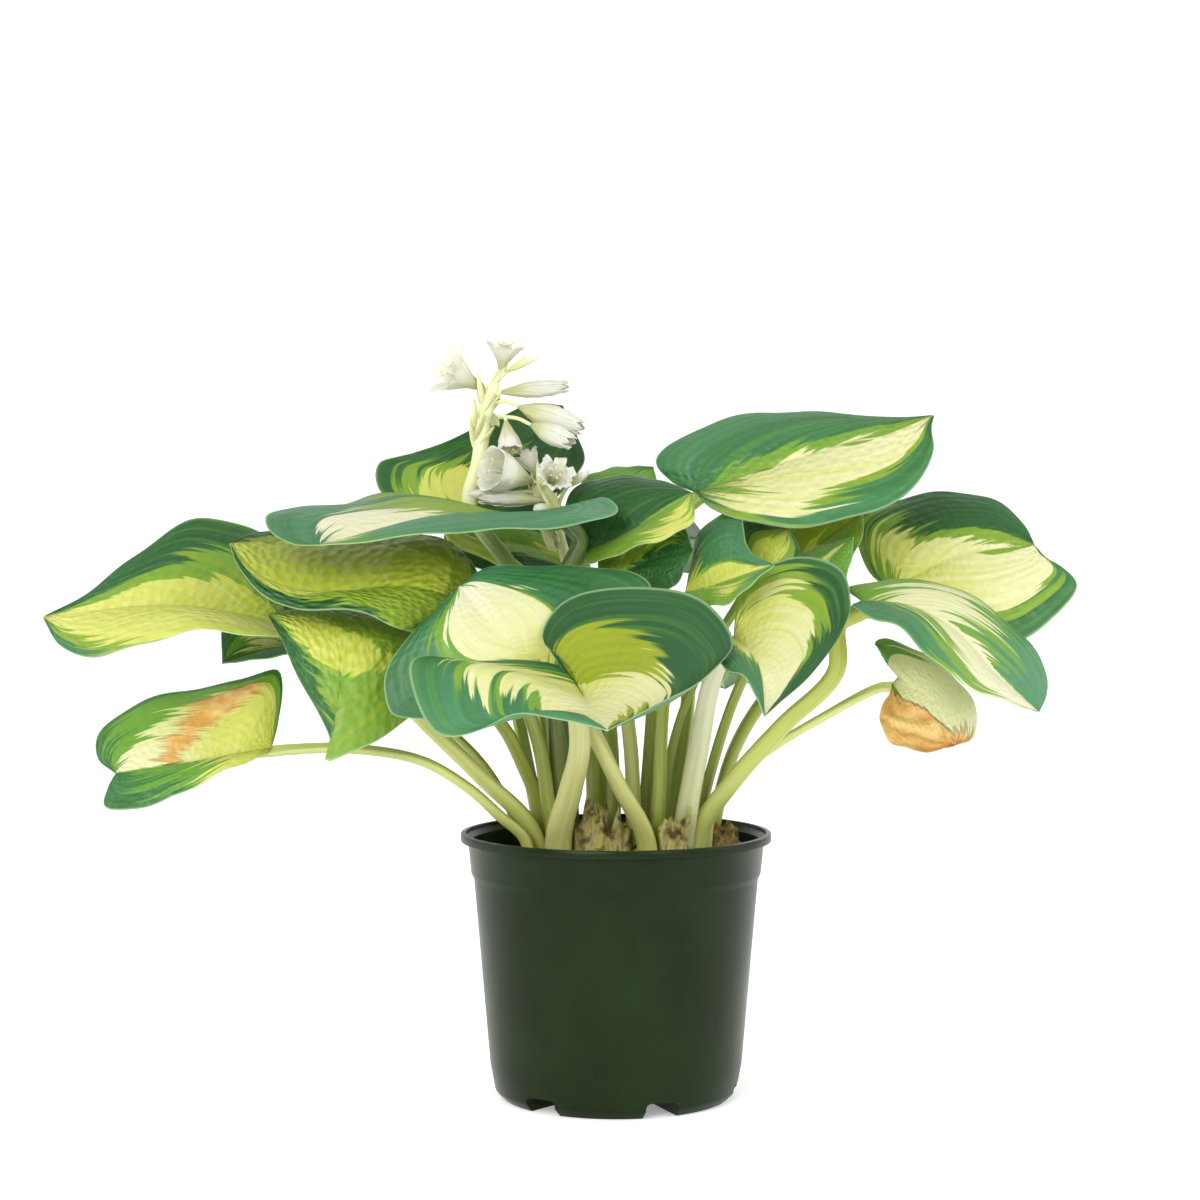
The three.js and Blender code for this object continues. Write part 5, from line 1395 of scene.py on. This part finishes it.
class Look:
    """A material, made by short calls. A value is a number, a colour or another call's result."""

    def __init__(self, name):
        self.material = bpy.data.materials.new(name)
        self.material.use_nodes = True
        self.tree = self.material.node_tree
        self.tree.nodes.clear()
        self.output = self.tree.nodes.new("ShaderNodeOutputMaterial")

    def node(self, kind, inputs, **settings):
        """A new node with its inputs set or joined to other nodes."""
        made = self.tree.nodes.new(kind)
        for key, value in settings.items():
            setattr(made, key, value)
        for key, value in inputs.items():
            socket = made.inputs[key]
            if isinstance(value, bpy.types.NodeSocket):
                self.tree.links.new(value, socket)
            elif isinstance(value, tuple) and len(value) == 3 and socket.type == "RGBA":
                socket.default_value = (*value, 1)
            else:
                socket.default_value = value
        return made

    def math(self, operation, *values, clamp=False):
        """A sum with one or two values, such as ADD or SINE."""
        inputs = dict(enumerate(values))
        return self.node("ShaderNodeMath", inputs, operation=operation, use_clamp=clamp).outputs[0]

    def plus(self, value, other, times, clamp=False):
        """A value and some times another."""
        return self.math("ADD", value, self.math("MULTIPLY", other, times), clamp=clamp)

    def mix(self, share, a, b, blend="MIX"):
        """A colour between two, nearer to the second as the share grows."""
        settings = {"data_type": "RGBA", "blend_type": blend, "clamp_factor": True}
        return self.node("ShaderNodeMix", {0: share, 6: a, 7: b}, **settings).outputs[2]

    def tint(self, colour, other, value, low, high, share=1.0):
        """A colour that another one takes over, up to a share, as a value grows from low to high."""
        return self.mix(self.stretch(value, low, high, 0.0, share), colour, other)

    def field(self, name):
        """What the piece's places have as one of their fields."""
        return self.node("ShaderNodeAttribute", {}, attribute_name=name).outputs["Fac"]

    def across_along(self):
        """How far across or round the piece a place lies, and how far along it, from 0 to 1."""
        uv = self.node("ShaderNodeUVMap", {}, uv_map="veins").outputs[0]
        split = self.node("ShaderNodeSeparateXYZ", {0: uv})
        return split.outputs[0], split.outputs[1]

    def place(self):
        """The place on the piece, in metres."""
        return self.node("ShaderNodeTexCoord", {}).outputs["Object"]

    def join(self, x, y, z=0.0):
        """A place made of three values."""
        return self.node("ShaderNodeCombineXYZ", {0: x, 1: y, 2: z}).outputs[0]

    def noise(self, place, scale=1.0, detail=2.0, rough=0.5):
        """A smooth random value round 0.5."""
        inputs = {"Vector": place, "Scale": scale, "Detail": detail, "Roughness": rough}
        return self.node("ShaderNodeTexNoise", inputs).outputs[0]

    def dents(self, place):
        """Round dents in loose rows, each about one unit wide."""
        inputs = {"Vector": place, "Scale": 1.0, "Smoothness": 0.5, "Randomness": 0.75}
        settings = {"voronoi_dimensions": "2D", "feature": "SMOOTH_F1"}
        return self.node("ShaderNodeTexVoronoi", inputs, **settings).outputs["Distance"]

    def streaks(self, across, along, seed, detail=2.0, grain=None):
        """Noise from about -0.2 to 0.2, drawn out along the grain, or along the piece if none is given."""
        u, v = grain or self.across_along()
        place = self.join(self.math("MULTIPLY", u, across), self.math("MULTIPLY", v, along), seed)
        return self.math("SUBTRACT", self.noise(place, detail=detail), 0.5)

    def stretch(self, value, low, high, first=0.0, last=1.0):
        """Goes smoothly from first to last as a value grows from low to high."""
        inputs = {"Value": value, "From Min": low, "From Max": high, "To Min": first, "To Max": last}
        return self.node("ShaderNodeMapRange", inputs, interpolation_type="SMOOTHSTEP").outputs[0]

    def bump(self, height, distance, normal=None):
        """The surface's direction with a relief whose depth is distance, in metres."""
        inputs = {"Height": height, "Distance": distance, "Strength": 1.0}
        if normal is not None:
            inputs["Normal"] = normal
        return self.node("ShaderNodeBump", inputs).outputs[0]

    def finish(self, colour, roughness, normal=None, through=None, share=0.0, **extra):
        """Ends the material. through is the colour of the light that comes through it, share its part."""
        inputs = {"Base Color": colour, "Roughness": roughness, **extra}
        if normal is not None:
            inputs["Normal"] = normal
        shader = self.node("ShaderNodeBsdfPrincipled", inputs).outputs[0]
        if share:
            glow = {"Color": through}
            if normal is not None:
                glow["Normal"] = normal
            glowing = self.node("ShaderNodeBsdfTranslucent", glow).outputs[0]
            shader = self.node("ShaderNodeMixShader", {0: share, 1: shader, 2: glowing}).outputs[0]
        self.tree.links.new(shader, self.output.inputs["Surface"])
        return self.material


def leaf_look():
    """Cream, light green and dark green areas whose edges run out in streaks along the veins."""
    look = Look("leaf")
    vein, along = look.field("vein"), look.field("along")
    seed = look.math("MULTIPLY", look.field("seed"), 7.3)

    def lines(across, length, offset, detail=2.0):
        return look.streaks(across, length, look.math("ADD", seed, offset), detail, (vein, along))

    def jags(coarse, fine, offset):
        broad = look.math("MULTIPLY", lines(4.5, 1.2, offset), coarse)
        return look.plus(broad, lines(13, 1.8, offset + 4, 3.0), fine)

    def mask(name, edge, low=-0.012, high=0.02):
        return look.stretch(look.math("ADD", look.field(name), edge), low, high)

    # Partly a painted sheen: the bluish green stands for the waxy bloom and for the light that the wax
    # reflects.
    wax = look.plus(look.field("wax"), lines(3, 1.5, 17), 1.2, clamp=True)
    dark = look.mix(wax, DARK_GREEN, WAX_SHEEN_GREEN)
    # Painted shade: the dark green is darkened where a leaf or one of its halves lies in shade.
    dark = look.mix(look.field("deep"), dark, PAINTED_SHADE_GREEN)
    dark = look.tint(dark, MOSS_GREEN, lines(14, 1.5, 21, 3.0), -0.05, 0.3, 0.5)
    sun = look.plus(look.field("sun"), lines(16, 1.2, 25, 3.0), 1.0, clamp=True)
    mid = look.mix(sun, MID_GREEN, LIME)
    gold = look.plus(look.field("gold"), lines(9, 1.0, 31), 1.2)
    pale = look.tint(PALE, CREAM, gold, -1.0, 0.0)
    pale = look.tint(pale, YELLOW, gold, 0.0, 1.0)
    pale = look.tint(pale, LIME_YELLOW, gold, 1.0, 2.0)
    pale = look.tint(pale, PALE_VEIN, lines(20, 1.0, 53, 3.0), 0.0, 0.3, 0.55)
    colour = look.mix(mask("mid", jags(0.8, 0.7, 9), -0.04, 0.05), dark, mid)
    colour = look.mix(mask("cream", jags(0.65, 0.6, 0), -0.015, 0.025), colour, pale)
    colour = look.mix(mask("over", jags(0.3, 0.4, 41)), colour, mid)
    wither = look.noise(look.place(), 90.0, 4.0)
    withered = look.tint(WITHERED, WITHERED_PALE, wither, 0.35, 0.65)
    dry = mask("brown", jags(0.25, 0.12, 47), -0.03, 0.05)
    across = look.across_along()[0]
    off = look.math("ABSOLUTE", look.math("SUBTRACT", across, 0.5))
    colour = look.tint(colour, RIM, off, 0.489, 0.496, 0.4)
    colour = look.mix(dry, colour, withered)
    ribs = look.math("POWER", look.math("SINE", look.math("MULTIPLY", vein, math.pi * VEINS)), 2.0)
    shade = look.plus(look.stretch(ribs, 0.0, 0.4, 0.96, 1.0), lines(60, 2.2, 37), 0.18)
    shades = look.node("ShaderNodeCombineColor", {0: shade, 1: shade, 2: shade}).outputs[0]
    colour = look.mix(1.0, colour, shades, "MULTIPLY")
    colour = look.mix(look.math("MULTIPLY", look.field("under"), 0.3), colour, UNDERSIDE)
    quilt = look.join(look.math("MULTIPLY", across, 17.0), look.math("MULTIPLY", along, 26.0))
    dimples = look.dents(quilt)
    normal = look.bump(look.noise(look.place(), 700.0, 3.0), 0.00010)
    normal = look.bump(look.math("MULTIPLY", dimples, look.field("puckers")), 0.0013, normal)
    normal = look.bump(look.math("MULTIPLY", wither, dry), 0.0025, normal)
    through = look.mix(0.4, colour, THROUGH)
    return look.finish(colour, 0.42, normal, through, 0.2, **{"Specular IOR Level": 0.4})


def stalk_look():
    """A stalk's own colour, with fine pale and darker streaks."""
    look = Look("stalk")
    tint = {0: look.field("red"), 1: look.field("green"), 2: look.field("blue")}
    colour = look.node("ShaderNodeCombineColor", tint).outputs[0]
    colour = look.tint(colour, STALK_STREAK, look.streaks(26, 3, 5.0, 3.0), -0.1, 0.35, 0.3)
    colour = look.tint(colour, STALK_SHADE, look.streaks(7, 1.5, 2.0), 0.0, 0.35, 0.4)
    normal = look.bump(look.streaks(30, 3, 8.0), 0.0002)
    return look.finish(colour, 0.36, normal, colour, 0.12)


def stem_look():
    """Green below and cream above, with pale streaks."""
    look = Look("stem")
    colour = look.tint(STEM_LOW, STEM_HIGH, look.field("along"), 0.64, 0.8)
    colour = look.tint(colour, STEM_STREAK, look.streaks(20, 6, 3.0, 3.0), 0.0, 0.3, 0.6)
    return look.finish(colour, 0.42, look.bump(look.streaks(36, 5, 8.0), 0.0003), colour, 0.15)


def petal_look():
    """White, with green at the petal's foot, most of all in its middle."""
    look = Look("petal")
    across = look.across_along()[0]
    along = look.field("along")
    middle = look.stretch(look.math("ABSOLUTE", look.math("SUBTRACT", across, 0.5)), 0.0, 0.22, 0.4, 0.0)
    tube = look.stretch(along, 0.15, 0.7, 1.0, 0.0)
    green = look.plus(look.math("MULTIPLY", tube, 0.7), middle, tube, clamp=True)
    colour = look.mix(green, PETAL_WHITE, PETAL_GREEN)
    colour = look.tint(colour, PETAL_SHADE, look.streaks(24, 1.5, 4.0, 3.0), 0.0, 0.3, 0.35)
    normal = look.bump(look.streaks(22, 1.2, 6.0), 0.0006)
    return look.finish(colour, 0.5, normal, PETAL_GLOW, 0.35)


def anther_look():
    """A grainy pale yellow."""
    look = Look("anther")
    return look.finish(look.mix(look.noise(look.place(), 1500.0), ANTHER, ANTHER_DARK), 0.8)


def dry_look():
    """Straw with pale fibres and brown blots."""
    look = Look("dry_leaf")
    fibres = look.streaks(8, 3.5, 1.0, 4.0)
    blots = look.noise(look.place(), 140.0, 3.0)
    colour = look.tint(DRY_DARK, DRY_PALE, fibres, -0.25, 0.1)
    colour = look.tint(colour, DRY_BROWN, blots, 0.47, 0.64, 0.9)
    return look.finish(colour, 0.5, look.bump(fibres, 0.0006), colour, 0.3)


def bark_look():
    """Rough bark."""
    look = Look("bark")
    grain = look.noise(look.place(), 260.0, 5.0, 0.65)
    colour = look.tint(BARK_DARK, BARK_LIGHT, grain, 0.32, 0.66)
    return look.finish(colour, 0.9, look.bump(grain, 0.0012))


def soil_look():
    """Dark soil with some crumbs as brown as bark."""
    look = Look("soil")
    grain = look.noise(look.place(), 420.0, 5.0, 0.7)
    colour = look.tint(SOIL_DARK, SOIL_LIGHT, grain, 0.3, 0.7)
    colour = look.tint(colour, SOIL_BIT, look.field("bit"), 0.75, 1.0, 0.8)
    return look.finish(colour, 0.95, look.bump(grain, 0.0012))


def pot_look():
    """Moulded plastic with a few dull patches."""
    look = Look("pot")
    dull = look.noise(look.place(), 22.0, 4.0, 0.6)
    colour = look.tint(POT_DARK, POT_LIGHT, dull, 0.2, 0.8)
    roughness = look.stretch(dull, 0.2, 0.8, 0.26, 0.36)
    return look.finish(colour, roughness, **{"Specular IOR Level": 0.12})


def floor_look():
    """White, and a little bright of itself."""
    look = Look("floor")
    colour = look.mix(look.noise(look.place(), 3.0), FLOOR_WHITE, FLOOR_PALE)
    glow = {"Emission Color": colour, "Emission Strength": 0.3}
    return look.finish(colour, 0.7, **glow)


def area_light(name, place, size, watts):
    """A square light that shines at the middle of the plant."""
    data = bpy.data.lights.new(name, "AREA")
    data.size, data.energy = size, watts
    light = placed(name, data)
    light.location = place
    light.rotation_euler = (Vector(LIGHT_AIM) - Vector(place)).to_track_quat("-Z", "Y").to_euler()


def make_world():
    """White to the camera, and for light a room that is bright above and at the sides and dimmer in front."""
    world = bpy.data.worlds.new("world")
    world.use_nodes = True
    tree = world.node_tree
    back = tree.nodes["Background"]
    back.inputs["Color"].default_value = (1, 1, 1, 1)
    direction = tree.nodes.new("ShaderNodeTexCoord").outputs["Generated"]
    split = tree.nodes.new("ShaderNodeSeparateXYZ")
    room = tree.nodes.new("ShaderNodeMapRange")
    room.interpolation_type = "SMOOTHSTEP"
    levels = {"From Min": -1.0, "From Max": -0.3, "To Min": ROOM_FRONT, "To Max": ROOM_LIGHT}
    for name, value in levels.items():
        room.inputs[name].default_value = value
    seen = tree.nodes.new("ShaderNodeMix")
    seen.inputs[3].default_value = 1.0
    path = tree.nodes.new("ShaderNodeLightPath")
    tree.links.new(direction, split.inputs[0])
    tree.links.new(split.outputs[1], room.inputs["Value"])
    tree.links.new(path.outputs["Is Camera Ray"], seen.inputs[0])
    tree.links.new(room.outputs[0], seen.inputs[2])
    tree.links.new(seen.outputs[0], back.inputs["Strength"])
    bpy.context.scene.world = world
    bpy.context.scene.view_settings.view_transform = "Standard"


def make_stage():
    """A white floor that curves up behind the plant, and four soft lights."""
    bend = [(FLOOR_BACK + FLOOR_BEND * math.sin(a), FLOOR_BEND - FLOOR_BEND * math.cos(a))
            for a in np.linspace(0, math.pi / 2, 13)]
    line = [(FLOOR_FRONT, 0.0), *bend, (FLOOR_BACK + FLOOR_BEND, FLOOR_TOP)]
    mesh = bpy.data.meshes.new("floor")
    places = [(x, y, z) for y, z in line for x in (-FLOOR_SIDE, FLOOR_SIDE)]
    mesh.from_pydata(places, [], [(k, k + 1, k + 3, k + 2) for k in range(0, len(places) - 2, 2)])
    mesh.shade_smooth()
    mesh.materials.append(floor_look())
    floor = placed("floor", mesh)
    for name, (place, size, watts) in LIGHTS.items():
        area_light(name, place, size, watts)


def make_camera():
    """A camera in front of the plant, which looks down a little."""
    data = bpy.data.cameras.new("camera")
    data.lens, data.sensor_width = LENS, SENSOR
    camera = placed("camera", data)
    camera.location = CAMERA_PLACE
    camera.rotation_euler = (math.radians(90 - CAMERA_PITCH), 0, 0)
    bpy.context.scene.camera = camera


# Painted shade: the green that the dark green of leaves in shade is darkened towards.
PAINTED_SHADE_GREEN = rgb(18, 66, 22)
DARK_GREEN = rgb(40, 96, 38)
# Partly a painted sheen: the bluish green of the waxy bloom together with the light that it reflects.
WAX_SHEEN_GREEN = rgb(76, 136, 98)
MOSS_GREEN = rgb(86, 142, 56)
MID_GREEN = rgb(92, 148, 54)
LIME = rgb(144, 156, 32)
PALE = rgb(216, 213, 190)
CREAM = rgb(211, 210, 160)
PALE_VEIN = rgb(186, 198, 118)
RIM = rgb(172, 202, 150)
YELLOW = rgb(196, 199, 98)
LIME_YELLOW = rgb(172, 184, 54)
WITHERED = rgb(204, 150, 78)
WITHERED_PALE = rgb(224, 188, 120)
UNDERSIDE = rgb(150, 185, 130)
THROUGH = rgb(216, 222, 124)
STALK_STREAK = rgb(218, 220, 176)
STALK_SHADE = rgb(128, 138, 60)
STEM_LOW = rgb(116, 142, 62)
STEM_HIGH = rgb(226, 228, 176)
STEM_STREAK = rgb(240, 240, 208)
PETAL_WHITE = rgb(232, 232, 224)
PETAL_GREEN = rgb(206, 210, 134)
PETAL_GLOW = rgb(240, 238, 206)
PETAL_SHADE = rgb(216, 212, 180)
ANTHER = rgb(228, 214, 158)
ANTHER_DARK = rgb(190, 168, 108)
DRY_PALE = rgb(200, 190, 116)
DRY_DARK = rgb(156, 140, 76)
DRY_BROWN = rgb(88, 62, 30)
BARK_DARK = rgb(48, 36, 16)
BARK_LIGHT = rgb(150, 122, 62)
SOIL_DARK = rgb(30, 22, 16)
SOIL_LIGHT = rgb(70, 52, 36)
SOIL_BIT = rgb(128, 98, 66)
POT_DARK = rgb(15, 25, 3)
POT_LIGHT = rgb(22, 38, 12)
FLOOR_WHITE = rgb(250, 250, 250)
FLOOR_PALE = rgb(247, 247, 247)

LEAF_LOOK = leaf_look()
STALK_LOOK = stalk_look()
STEM_LOOK = stem_look()
PETAL_LOOK = petal_look()
ANTHER_LOOK = anther_look()
DRY_LOOK = dry_look()
BARK_LOOK = bark_look()
SOIL_LOOK = soil_look()
POT_LOOK = pot_look()

make_camera()
make_world()
make_stage()
make_pot()
make_soil()
for number, leaf in enumerate(LEAVES):
    make_leaf(leaf, number * LEAF_SHIFT, SMALL_GRID if leaf["name"] in SMALL_LEAVES else FINE_GRID)
for number, short in enumerate(BACK_LEAVES):
    make_leaf(plain_leaf(short), BACK_SHIFT + number * LEAF_SHIFT, SMALL_GRID)
for number, stem in enumerate(STEMS):
    make_stem(stem, [bloom for bloom in [*BLOOMS, *BUDS] if bloom["stem"] == number])
for bloom in BLOOMS:
    make_bloom(bloom)
for bud in BUDS:
    make_bud(bud)
for sheath in SHEATHS:
    make_sheath(sheath)
for chip in CHIPS:
    make_chip(chip)
